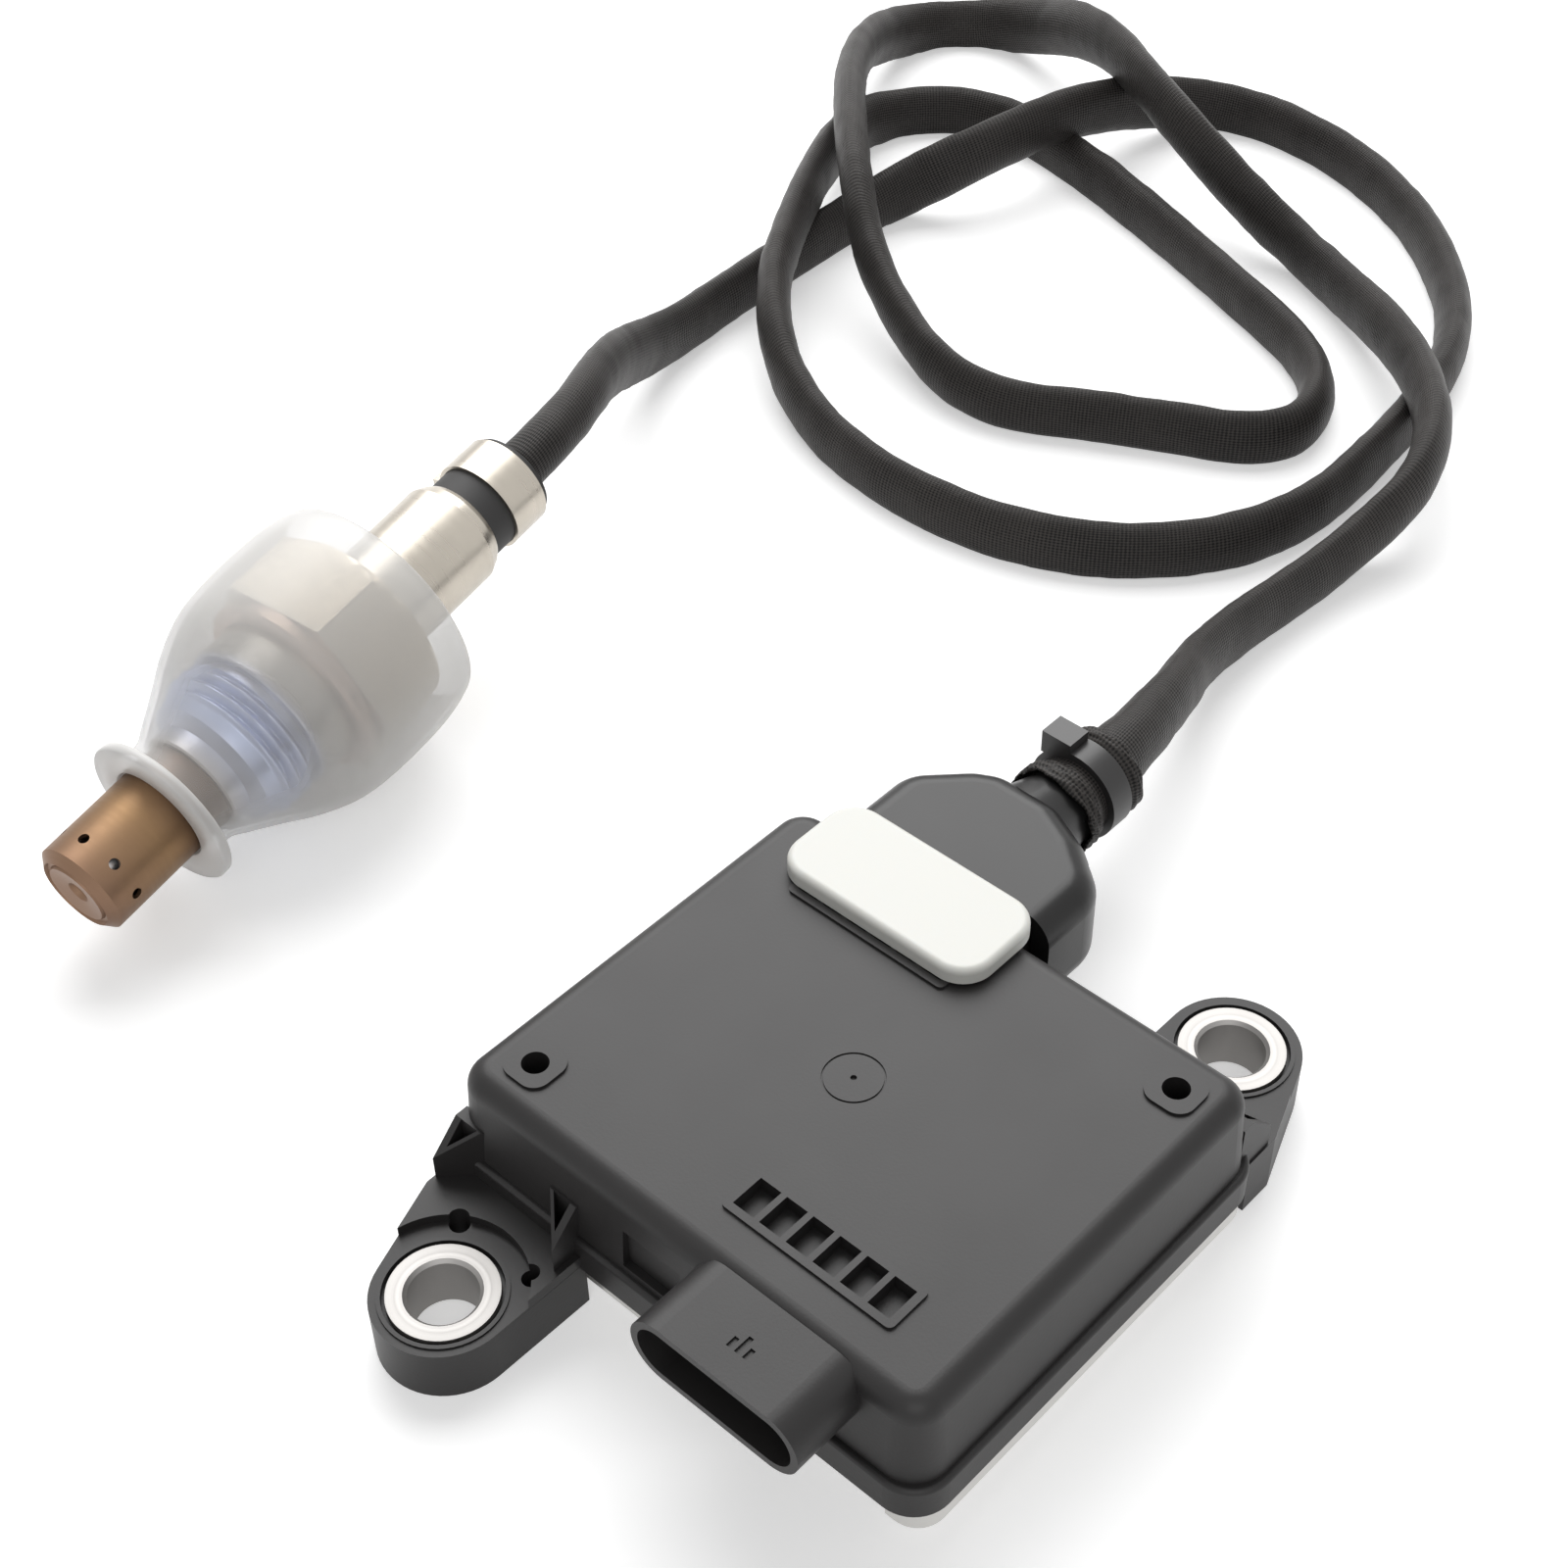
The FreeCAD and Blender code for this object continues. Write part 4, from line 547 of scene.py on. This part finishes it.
# cable: a flattened braided sleeve along the route, in metres
cableLook = {
    "route": [
        (-0.0115, 0.0505, 0.0126), (-0.013, 0.064, 0.011), (-0.020, 0.083, 0.0042),
        (-0.0185, 0.106, 0.0026), (-0.0155, 0.124, 0.0094), (-0.0295, 0.141, 0.0094),
        (-0.055, 0.159, 0.0026), (-0.0715, 0.161, 0.008), (-0.086, 0.163, 0.0148),
        (-0.106, 0.1745, 0.0148), (-0.130, 0.186, 0.0026), (-0.143, 0.1735, 0.0026),
        (-0.1315, 0.148, 0.013), (-0.109, 0.123, 0.016), (-0.0955, 0.112, 0.0075),
        (-0.073, 0.103, 0.0026), (-0.054, 0.114, 0.0026), (-0.0355, 0.1225, 0.0026),
        (-0.040, 0.1385, 0.0026), (-0.062, 0.1475, 0.0026), (-0.094, 0.159, 0.0026),
        (-0.117, 0.163, 0.0026), (-0.129, 0.150, 0.0026), (-0.121, 0.132, 0.008),
        (-0.111, 0.1135, 0.0098), (-0.1005, 0.0965, 0.008), (-0.0845, 0.0865, 0.0026),
        (-0.060, 0.083, 0.0026), (-0.039, 0.090, 0.0026), (-0.026, 0.1075, 0.0026),
        (-0.027, 0.133, 0.0026), (-0.032, 0.158, 0.0026), (-0.0515, 0.1785, 0.0026),
        (-0.075, 0.188, 0.0026), (-0.0945, 0.186, 0.0026), (-0.100, 0.163, 0.0096),
        (-0.103, 0.144, 0.0094), (-0.1125, 0.133, 0.0026), (-0.112, 0.108, 0.0026),
        (-0.1095, 0.086, 0.004), (-0.1034, 0.0732, 0.011), (-0.0955, 0.062, 0.018),
        (-0.08793, 0.04986, 0.02126), (-0.08694, 0.04052, 0.01982),
    ],
    "halfWidth": 4.2 * mm,
    "halfThick": 2.3 * mm,
    "roundStart": 3.6 * mm,
    "roundEnd": 3.0 * mm,
    "roundStretch": 0.03,
    "stepLength": 1.0 * mm,
    "sides": 28,
    "lean": 0.45,
    "swayScale": 11.0,
    "endBlend": 0.6,
    "lens": 0.25,
    "floorGap": 0.05 * mm,
    "hoopRadius": 1.0 * mm,
    "ripple": 0.6 * mm,
    "rippleScale": 210.0,
    "seed": 7,
    "braidTurns": 36.0,
    "braidPitch": 0.95 * mm,
    "stops": [(0.3, (0.003, 0.0028, 0.0028)), (0.7, (0.011, 0.0102, 0.0097)), (1.0, (0.055, 0.05, 0.047))],
    "wearScale": 110.0,
    "wear": 0.45,
    "fuzzScale": 2600.0,
    "fuzz": 0.35,
    "roughness": 0.42,
    "specular": 0.14,
    "sheen": 0.03,
    "bump": 0.6,
    "bumpDepth": 0.1 * mm,
    "joinDistance": 0.01 * mm,
}


def splinePoints(name, route):
    # the smooth line through the route's control points, as Blender draws it
    curve = bpy.data.curves.new(name, "CURVE")
    curve.dimensions = "3D"
    spline = curve.splines.new("NURBS")
    spline.points.add(len(route) - 1)
    for point, place in zip(spline.points, route):
        point.co = (*place, 1.0)
    spline.order_u = 3
    spline.use_endpoint_u = True
    spline.resolution_u = 24
    holder = bpy.data.objects.new(name, curve)
    bpy.context.scene.collection.objects.link(holder)
    bpy.context.view_layer.update()
    shown = holder.evaluated_get(bpy.context.evaluated_depsgraph_get())
    mesh = bpy.data.meshes.new_from_object(shown)
    points = [vertex.co.copy() for vertex in mesh.vertices]
    bpy.data.meshes.remove(mesh)
    bpy.data.objects.remove(holder)
    bpy.data.curves.remove(curve)
    return points


def resample(points, step):
    # even steps along the line, with the length run at each
    lengths = [0.0]
    for before, after in zip(points, points[1:]):
        lengths.append(lengths[-1] + (after - before).length)
    total = lengths[-1]
    count = max(2, round(total / step))
    result = []
    index = 0
    for stop in range(count + 1):
        target = total * stop / count
        while index < len(points) - 2 and lengths[index + 1] < target:
            index += 1
        share = (target - lengths[index]) / max(lengths[index + 1] - lengths[index], 1e-9)
        result.append(points[index].lerp(points[index + 1], min(max(share, 0.0), 1.0)))
    return result, total


def smoothStep(value):
    value = min(max(value, 0.0), 1.0)
    return value * value * (3 - 2 * value)


def sleeveTree():
    # a flattened tube on a path: round at its two ends, with a slow lean and soft wrinkles
    tree, entry, leave = newGeometryTree("sleeveOnPath", [
        ("Half Width", "NodeSocketFloat"), ("Half Thickness", "NodeSocketFloat"),
        ("Start Radius", "NodeSocketFloat"), ("End Radius", "NodeSocketFloat"),
        ("Round Stretch", "NodeSocketFloat"), ("End Blend", "NodeSocketFloat"), ("Sides", "NodeSocketInt"),
        ("Lean", "NodeSocketFloat"), ("Sway Scale", "NodeSocketFloat"), ("Lens", "NodeSocketFloat"),
        ("Hoop Radius", "NodeSocketFloat"), ("Ripple", "NodeSocketFloat"),
        ("Ripple Scale", "NodeSocketFloat"), ("Floor Gap", "NodeSocketFloat"),
        ("Join Distance", "NodeSocketFloat"), ("Seed", "NodeSocketInt"),
        ("Material", "NodeSocketMaterial")])
    given = entry.outputs
    path = addNode(tree, "GeometryNodeMeshToCurve", Mesh=given["Geometry"]).outputs[0]
    upright = addNode(tree, "GeometryNodeSetCurveNormal", {"mode": "Z_UP"}, Curve=path)
    spline = tree.nodes.new("GeometryNodeSplineParameter").outputs
    share = spline["Factor"]
    toStart = number(tree, "DIVIDE", share, given["Round Stretch"])
    fromStart = number(tree, "SMOOTH_MIN", toStart, 1.0, given["End Blend"])
    toEnd = number(tree, "DIVIDE", number(tree, "SUBTRACT", 1.0, share), given["Round Stretch"])
    fromEnd = number(tree, "SMOOTH_MIN", toEnd, 1.0, given["End Blend"])
    flat = number(tree, "MAXIMUM", number(tree, "MINIMUM", fromStart, fromEnd), 0.0)
    sway = addNode(tree, "ShaderNodeTexNoise", {"noise_dimensions": "1D"}, Scale=given["Sway Scale"],
                   Detail=1.0, W=number(tree, "ADD", spline["Length"], given["Seed"])).outputs["Fac"]
    lean = number(tree, "MULTIPLY", number(tree, "SUBTRACT", sway, 0.5), given["Lean"])
    leaning = addNode(tree, "GeometryNodeSetCurveTilt", Curve=upright.outputs[0],
                      Tilt=number(tree, "MULTIPLY", lean, flat))
    sized = addNode(tree, "GeometryNodeSetCurveRadius", Curve=leaning.outputs[0], Radius=1.0)
    line, centre = capture(tree, sized.outputs[0], "POINT", "VECTOR",
                           tree.nodes.new("GeometryNodeInputPosition").outputs[0])
    line, lift = capture(tree, line, "POINT", "VECTOR", tree.nodes.new("GeometryNodeInputNormal").outputs[0])
    line, tangent = capture(tree, line, "POINT", "VECTOR",
                            tree.nodes.new("GeometryNodeInputTangent").outputs[0])
    line, flatness = capture(tree, line, "POINT", "FLOAT", flat)
    line, progress = capture(tree, line, "POINT", "FLOAT", share)
    line, run = capture(tree, line, "POINT", "FLOAT", spline["Length"])
    hoop = tree.nodes.new("GeometryNodeCurveArc")
    tree.links.new(given["Sides"], hoop.inputs["Resolution"])
    tree.links.new(given["Hoop Radius"], hoop.inputs["Radius"])
    hoop.inputs["Start Angle"].default_value = 0.0
    hoop.inputs["Sweep Angle"].default_value = 2 * math.pi
    ringShare = tree.nodes.new("GeometryNodeSplineParameter").outputs["Factor"]
    ring, around = capture(tree, hoop.outputs["Curve"], "POINT", "FLOAT", ringShare)
    tube = tree.nodes.new("GeometryNodeCurveToMesh")
    tree.links.new(line, tube.inputs["Curve"])
    tree.links.new(ring, tube.inputs["Profile Curve"])
    side = vector(tree, "CROSS_PRODUCT", tangent, lift)
    away = vector(tree, "SUBTRACT", tree.nodes.new("GeometryNodeInputPosition").outputs[0], centre)
    across = number(tree, "DIVIDE", vector(tree, "DOT_PRODUCT", away, side), given["Hoop Radius"])
    over = number(tree, "DIVIDE", vector(tree, "DOT_PRODUCT", away, lift), given["Hoop Radius"])
    late = number(tree, "GREATER_THAN", progress, 0.5)
    endStep = number(tree, "SUBTRACT", given["End Radius"], given["Start Radius"])
    endRadius = number(tree, "MULTIPLY_ADD", late, endStep, given["Start Radius"])
    sizes = []
    for label in ("Half Width", "Half Thickness"):
        growth = number(tree, "SUBTRACT", given[label], endRadius)
        sizes.append(number(tree, "MULTIPLY_ADD", growth, flatness, endRadius))
    thinning = number(tree, "MULTIPLY", flatness, given["Lens"])
    lens = number(tree, "POWER", number(tree, "ABSOLUTE", over), thinning)
    wide = vector(tree, "SCALE", side, scale=number(tree, "MULTIPLY", across, sizes[0]))
    deep = number(tree, "MULTIPLY", number(tree, "MULTIPLY", over, lens), sizes[1])
    high = vector(tree, "SCALE", lift, scale=deep)
    even = vector(tree, "ADD", vector(tree, "ADD", centre, wide), high)
    wrinkles = addNode(tree, "ShaderNodeTexNoise", {"noise_dimensions": "4D"}, Vector=even,
                       W=given["Seed"], Scale=given["Ripple Scale"], Detail=2.0)
    swell = number(tree, "MULTIPLY", number(tree, "SUBTRACT", wrinkles.outputs["Fac"], 0.5), given["Ripple"])
    puff = vector(tree, "SCALE", vector(tree, "NORMALIZE", away), scale=swell)
    # nothing of the sleeve lies under the floor; its sides are left as they are
    floor = addNode(tree, "ShaderNodeCombineXYZ", X=-10.0, Y=-10.0, Z=given["Floor Gap"]).outputs[0]
    resting = vector(tree, "MAXIMUM", vector(tree, "ADD", even, puff), floor)
    shaped = addNode(tree, "GeometryNodeSetPosition", Geometry=tube.outputs["Mesh"], Position=resting)
    uv = tree.nodes.new("ShaderNodeCombineXYZ")
    tree.links.new(around, uv.inputs["X"])
    tree.links.new(run, uv.inputs["Y"])
    named = tree.nodes.new("GeometryNodeStoreNamedAttribute")
    named.data_type = "FLOAT2"
    named.domain = "CORNER"
    named.inputs["Name"].default_value = "UVMap"
    tree.links.new(shaped.outputs[0], named.inputs["Geometry"])
    tree.links.new(uv.outputs[0], named.inputs["Value"])
    closed = addNode(tree, "GeometryNodeMergeByDistance", Geometry=named.outputs[0],
                     Distance=given["Join Distance"])
    smooth = addNode(tree, "GeometryNodeSetShadeSmooth", Geometry=closed.outputs[0])
    finishTree(tree, leave, smooth.outputs[0], given["Material"])
    return tree


def pathMesh(name, points):
    mesh = bpy.data.meshes.new(name)
    mesh.from_pydata([tuple(point) for point in points], [(n, n + 1) for n in range(len(points) - 1)], [])
    return mesh


def braidMaterial(look):
    # two crossing sets of dark yarns, from the sleeve's own UV map
    material, tree, shader = newMaterial("cableBraid")
    place = addNode(tree, "ShaderNodeTexCoord").outputs["UV"]
    split = addNode(tree, "ShaderNodeSeparateXYZ", Vector=place)
    around = number(tree, "MULTIPLY", split.outputs["X"], look["braidTurns"])
    along = number(tree, "DIVIDE", split.outputs["Y"], look["braidPitch"])
    strands = []
    for sign in (1.0, -1.0):
        slant = number(tree, "MULTIPLY_ADD", along, sign, around)
        strands.append(number(tree, "SINE", number(tree, "MULTIPLY", slant, 2 * math.pi)))
    spread = remap(tree, number(tree, "MULTIPLY", *strands), low=-1.0)
    own = addNode(tree, "ShaderNodeTexCoord").outputs["Object"]
    wear = addNode(tree, "ShaderNodeTexNoise", Vector=own, Scale=look["wearScale"], Detail=5.0)
    fuzz = addNode(tree, "ShaderNodeTexNoise", Vector=own, Scale=look["fuzzScale"], Detail=2.0)
    worn = number(tree, "MULTIPLY_ADD", wear.outputs["Fac"], look["wear"], spread)
    frayed = number(tree, "MULTIPLY_ADD", fuzz.outputs["Fac"], look["fuzz"], worn)
    colour = addRamp(tree, frayed, look["stops"])
    tree.links.new(colour, shader.inputs["Base Color"])
    shader.inputs["Roughness"].default_value = look["roughness"]
    shader.inputs["Specular IOR Level"].default_value = look["specular"]
    shader.inputs["Sheen Weight"].default_value = look["sheen"]
    shader.inputs["Sheen Roughness"].default_value = 0.5
    addBump(tree, shader, frayed, look["bump"], look["bumpDepth"])
    return material


def makeCable(look):
    points, total = resample(splinePoints("cableRoute", look["route"]), look["stepLength"])
    materials["cableBraid"] = braidMaterial(look)
    mesh = runTree("cableSleeve", pathMesh("cablePath", points), sleeveTree(), {
        "Half Width": look["halfWidth"], "Half Thickness": look["halfThick"],
        "Start Radius": look["roundStart"], "End Radius": look["roundEnd"],
        "Round Stretch": look["roundStretch"], "End Blend": look["endBlend"], "Sides": look["sides"] + 1,
        "Lean": look["lean"], "Sway Scale": look["swayScale"], "Lens": look["lens"],
        "Hoop Radius": look["hoopRadius"], "Ripple": look["ripple"], "Ripple Scale": look["rippleScale"],
        "Floor Gap": look["floorGap"], "Join Distance": look["joinDistance"], "Seed": look["seed"],
        "Material": materials["cableBraid"]})
    closeSeams(mesh)
    cable = addPiece("cable_sleeve", mesh, materials["cableBraid"])
    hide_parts("cable")
    print("cable", round(total, 4), "m long,", len(mesh.polygons), "faces")
    return cable


makeCable(cableLook)


# sleeve end: the braid pulled over the spigot and gathered under the tie band
sleeveEndLook = {
    "axisX": -11.5 * mm, "axisZ": 12.6 * mm, "from": 43.4 * mm, "to": 52.2 * mm,
    "tieFrom": 46.8 * mm, "tieTo": 50.2 * mm, "tight": 4.43 * mm, "loose": 5.1 * mm,
    "rows": 40, "sides": 56,
    "swellBefore": 1.8 * mm, "swellAfter": 1.4 * mm, "pleats": 9, "pleatTwist": 60.0,
    "pleatBefore": 0.16 * mm, "pleatAfter": 0.096 * mm, "hemWaves": 3, "hemDepth": 0.35 * mm,
    "wall": 0.25 * mm,
}


def makeSleeveEnd(look):
    rings = []
    runs = []
    for row in range(look["rows"] + 1):
        share = row / look["rows"]
        station = look["from"] + (look["to"] - look["from"]) * share
        before = smoothStep((look["tieFrom"] - station) / look["swellBefore"])
        after = smoothStep((station - look["tieTo"]) / look["swellAfter"])
        swell = max(before, after)
        radius = look["tight"] + (look["loose"] - look["tight"]) * swell
        pleatDepth = swell * (look["pleatBefore"] if before > 0 else look["pleatAfter"])
        ring = []
        for corner in range(look["sides"]):
            angle = 2 * math.pi * corner / look["sides"]
            hem = look["hemDepth"] * math.sin(look["hemWaves"] * angle + 1.0) if row == 0 else 0.0
            reach = radius + pleatDepth * math.sin(look["pleats"] * angle + look["pleatTwist"] * share)
            ring.append(Vector((look["axisX"] + reach * math.cos(angle), station + hem,
                                look["axisZ"] + reach * math.sin(angle))))
        rings.append(ring)
        runs.append(station)
    mesh = tubeMesh("sleeveEnd", rings, runs)
    end = addPiece("sleeve_end", mesh, materials["cableBraid"])
    wall = end.modifiers.new("wall", "SOLIDIFY")
    wall.thickness = look["wall"]
    wall.offset = 1.0
    return end


makeSleeveEnd(sleeveEndLook)
print("sleeve end gathered under the tie")


# cap: soft frosted moulding turned about the probe's axis
capLook = {
    "flange": [(5.65, 0.45), (5.8, 0.3), (8.8, 0.3), (9.0, 0.5), (9.0, 1.4), (8.8, 1.6), (7.2, 1.62)],
    "outside": [(6.85, 1.9), (6.8, 4.2), (7.9, 6.3), (9.8, 9.7), (12.0, 13.5), (13.7, 17.8), (14.3, 22.5),
                (14.35, 28.5), (14.0, 32.0), (13.45, 34.2)],
    "rim": [(13.3, 34.5), (12.85, 34.5)],
    "inside": [(12.7, 34.2), (13.25, 32.0), (13.6, 28.4), (13.6, 22.6), (13.0, 18.0), (11.3, 13.8),
               (9.2, 10.2), (7.4, 7.0), (6.4, 5.1)],
    "grip": [(5.75, 4.5), (5.65, 4.3)],
    "sides": 96,
    "frost": (0.76, 0.75, 0.735),
    "edgeBlend": 0.35,
    "milkMiddle": 0.2,
    "milkEdge": 0.6,
    "clearFrom": 1.6 * mm,
    "milkFrom": 11.0 * mm,
    "milkTo": 19.0 * mm,
    "milkRise": 0.2,
    "flangeMilk": 0.45,
}


def makeCapMaterial(look):
    material, tree, shader = newMaterial("capPlastic")
    surface = placeGroup(tree, mottleGroup, Base=(*look["frost"], 1.0), Drift=0.04, Patch=70.0, Grain=900.0,
                         Roughness=0.36, Uneven=0.1)
    tree.links.new(surface.outputs["Color"], shader.inputs["Base Color"])
    tree.links.new(surface.outputs["Roughness"], shader.inputs["Roughness"])
    edge = addNode(tree, "ShaderNodeLayerWeight", Blend=look["edgeBlend"]).outputs["Facing"]
    station = alongProbe(tree)[0]
    clearFrom = look["clearFrom"]
    flange = remap(tree, station, clearFrom, clearFrom + 0.5 * mm, look["flangeMilk"], 0.0)
    milk = remap(tree, edge, lowResult=look["milkMiddle"], highResult=look["milkEdge"])
    skirt = remap(tree, station, look["milkFrom"], look["milkTo"], 0.0, look["milkRise"])
    cover = number(tree, "ADD", number(tree, "ADD", milk, skirt), flange)
    tree.links.new(number(tree, "MINIMUM", cover, 1.0), shader.inputs["Alpha"])
    addBump(tree, shader, surface.outputs["Height"], 0.1, 0.00005)
    return material


def smoothLine(points, parts):
    # rounded line through the points, for a soft moulded profile
    result = [points[0]]
    for index in range(len(points) - 1):
        before = Vector(points[max(index - 1, 0)])
        start = Vector(points[index])
        end = Vector(points[index + 1])
        after = Vector(points[min(index + 2, len(points) - 1)])
        for part in range(1, parts + 1):
            share = part / parts
            blend = 2 * start + (end - before) * share
            blend += (2 * before - 5 * start + 4 * end - after) * share ** 2
            blend += (3 * start - before - 3 * end + after) * share ** 3
            result.append(tuple(blend / 2))
    return result


def makeCap(look):
    profile = look["flange"] + smoothLine(look["outside"], 5) + look["rim"]
    profile += smoothLine(look["inside"], 4) + look["grip"]
    count = look["sides"]
    rings = []
    for radius, station in profile:
        ring = []
        for corner in range(count):
            angle = 2 * math.pi * corner / count
            outward = probeSide * math.cos(angle) + probeUp * math.sin(angle)
            ring.append(probeStart + probeAxis * station * mm + outward * radius * mm)
        rings.append(ring)
    rings.append(rings[0])
    mesh = tubeMesh("capMoulding", rings)
    closeSeams(mesh)
    materials["capPlastic"] = makeCapMaterial(look)
    cap = addPiece("cap_moulding", mesh, materials["capPlastic"])
    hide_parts("protective_cap")
    return cap


makeCap(capLook)
print("cap turned")


# fitting: nose, rolled thread, collar and hexagon in one turned piece
fittingLook = {
    "threadFrom": 9.8, "threadTo": 14.2, "threadRadius": 8.95, "threadDepth": 0.85, "threadPitch": 1.5,
    "threadFade": 0.9, "crestShare": 1.25, "rootShare": 0.12,
    "flats": 11.0, "hexFrom": 22.0, "hexTo": 32.0, "bevel": 1.5, "bevelDrop": 1.65,
    "sides": 144, "threadRows": 44,
    "lead": [(5.45, 7.0), (5.45, 5.2), (5.9, 5.2), (6.1, 5.4), (6.1, 7.4), (7.7, 8.4)],
    "collar": [(8.05, 14.3), (8.05, 15.2), (8.9, 15.3), (9.1, 15.5), (9.1, 22.0)],
    "tail": [(5.7, 32.0), (5.7, 35.5), (4.65, 35.5), (4.65, 7.0)],
}


def fittingRings(look):
    rows = [(radius, station, None) for radius, station in look["lead"]]
    for row in range(look["threadRows"] + 1):
        station = look["threadFrom"] + (look["threadTo"] - look["threadFrom"]) * row / look["threadRows"]
        rows.append((look["threadRadius"], station, "thread"))
    rows += [(radius, station, None) for radius, station in look["collar"]]
    for station in (look["hexFrom"], look["hexTo"] - look["bevel"], look["hexTo"] - 0.5 * look["bevel"],
                    look["hexTo"]):
        rows.append((look["flats"], station, "hex"))
    rows += [(radius, station, None) for radius, station in look["tail"]]
    rings = []
    for radius, station, kind in rows:
        ring = []
        for corner in range(look["sides"]):
            angle = 2 * math.pi * corner / look["sides"]
            reach = radius
            if kind == "thread":
                turn = (station / look["threadPitch"] - angle / (2 * math.pi)) % 1.0
                rise = look["crestShare"] * (1 - abs(2 * turn - 1)) - look["rootShare"]
                flank = min(1.0, max(0.0, rise))
                fade = smoothStep((station - look["threadFrom"]) / look["threadFade"])
                reach = radius - look["threadDepth"] * (1 - flank * fade)
            if kind == "hex":
                away = (angle + math.pi / 6) % (math.pi / 3) - math.pi / 6
                reach = radius / math.cos(away + math.pi / 6 if away < 0 else away - math.pi / 6)
                drop = look["bevelDrop"] * (look["hexTo"] - station) / look["bevel"]
                reach = min(reach, radius + drop + 0.0001)
            outward = probeSide * math.cos(angle) + probeUp * math.sin(angle)
            ring.append(probeStart + probeAxis * station * mm + outward * reach * mm)
        rings.append(ring)
    rings.append(rings[0])
    return rings


def makeFitting(look):
    mesh = tubeMesh("fitting", fittingRings(look))
    closeSeams(mesh)
    mesh.set_sharp_from_angle(angle=math.radians(32))
    fitting = addPiece("threaded_fitting", mesh, materials["fittingSteel"])
    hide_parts("probe_body")
    return fitting


makeFitting(fittingLook)
print("fitting threaded")


# floor, world and lamps
studioLook = {
    "floorSize": 6.0,
    "floorColour": (0.82, 0.82, 0.82),
    "floorLift": 0.42,
    "worldFill": 0.3,
    "target": (-0.03, 0.03, 0.01),
    "keyDirection": (-0.47, 0.49, 0.73),
    "keyDistance": 0.9,
    "keySize": 0.85,
    "keyPower": 10.0,
    "fillPlace": (0.5, -0.5, 0.6),
    "fillSize": 0.6,
    "fillPower": 1.6,
}


def seenRays(tree):
    # camera, mirror and see-through rays all meet the white surround
    path = addNode(tree, "ShaderNodeLightPath").outputs
    first = number(tree, "MAXIMUM", path["Is Camera Ray"], path["Is Glossy Ray"])
    return number(tree, "MAXIMUM", first, path["Is Transmission Ray"])


def makeFloor(look):
    half = look["floorSize"] / 2
    mesh = bpy.data.meshes.new("floor")
    corners = [(-half, -half, 0), (half, -half, 0), (half, half, 0), (-half, half, 0)]
    mesh.from_pydata(corners, [], [(0, 1, 2, 3)])
    floor = bpy.data.objects.new("floor", mesh)
    bpy.context.scene.collection.objects.link(floor)
    material = bpy.data.materials.new("floorWhite")
    material.use_nodes = True
    tree = material.node_tree
    tree.nodes.clear()
    output = tree.nodes.new("ShaderNodeOutputMaterial")
    matt = addNode(tree, "ShaderNodeBsdfDiffuse", Color=(*look["floorColour"], 1.0))
    glow = addNode(tree, "ShaderNodeEmission", Color=(1.0, 1.0, 1.0, 1.0))
    tree.links.new(number(tree, "MULTIPLY", seenRays(tree), look["floorLift"]), glow.inputs["Strength"])
    both = wire(tree, addNode(tree, "ShaderNodeAddShader"), matt.outputs[0], glow.outputs[0])
    tree.links.new(both.outputs[0], output.inputs["Surface"])
    mesh.materials.append(material)
    return floor


def makeWorld(look):
    world = bpy.data.worlds.new("studioWorld")
    bpy.context.scene.world = world
    world.use_nodes = True
    tree = world.node_tree
    tree.nodes.clear()
    output = tree.nodes.new("ShaderNodeOutputWorld")
    strength = remap(tree, seenRays(tree), lowResult=look["worldFill"])
    background = addNode(tree, "ShaderNodeBackground", Strength=strength)
    background.inputs["Color"].default_value = (1.0, 1.0, 1.0, 1.0)
    tree.links.new(background.outputs[0], output.inputs["Surface"])


def makeLamp(name, place, target, size, power):
    data = bpy.data.lights.new(name, "AREA")
    data.shape = "SQUARE"
    data.size = size
    data.energy = power
    lamp = bpy.data.objects.new(name, data)
    lamp.location = place
    lamp.rotation_euler = (Vector(target) - Vector(place)).to_track_quat("-Z", "Y").to_euler()
    bpy.context.scene.collection.objects.link(lamp)
    return lamp


def makeStudio(look):
    makeFloor(look)
    makeWorld(look)
    target = Vector(look["target"])
    key = target + Vector(look["keyDirection"]).normalized() * look["keyDistance"]
    makeLamp("keyLamp", key, target, look["keySize"], look["keyPower"])
    makeLamp("fillLamp", look["fillPlace"], target, look["fillSize"], look["fillPower"])
    bpy.context.scene.view_settings.view_transform = "Standard"


makeStudio(studioLook)
print("studio lit")
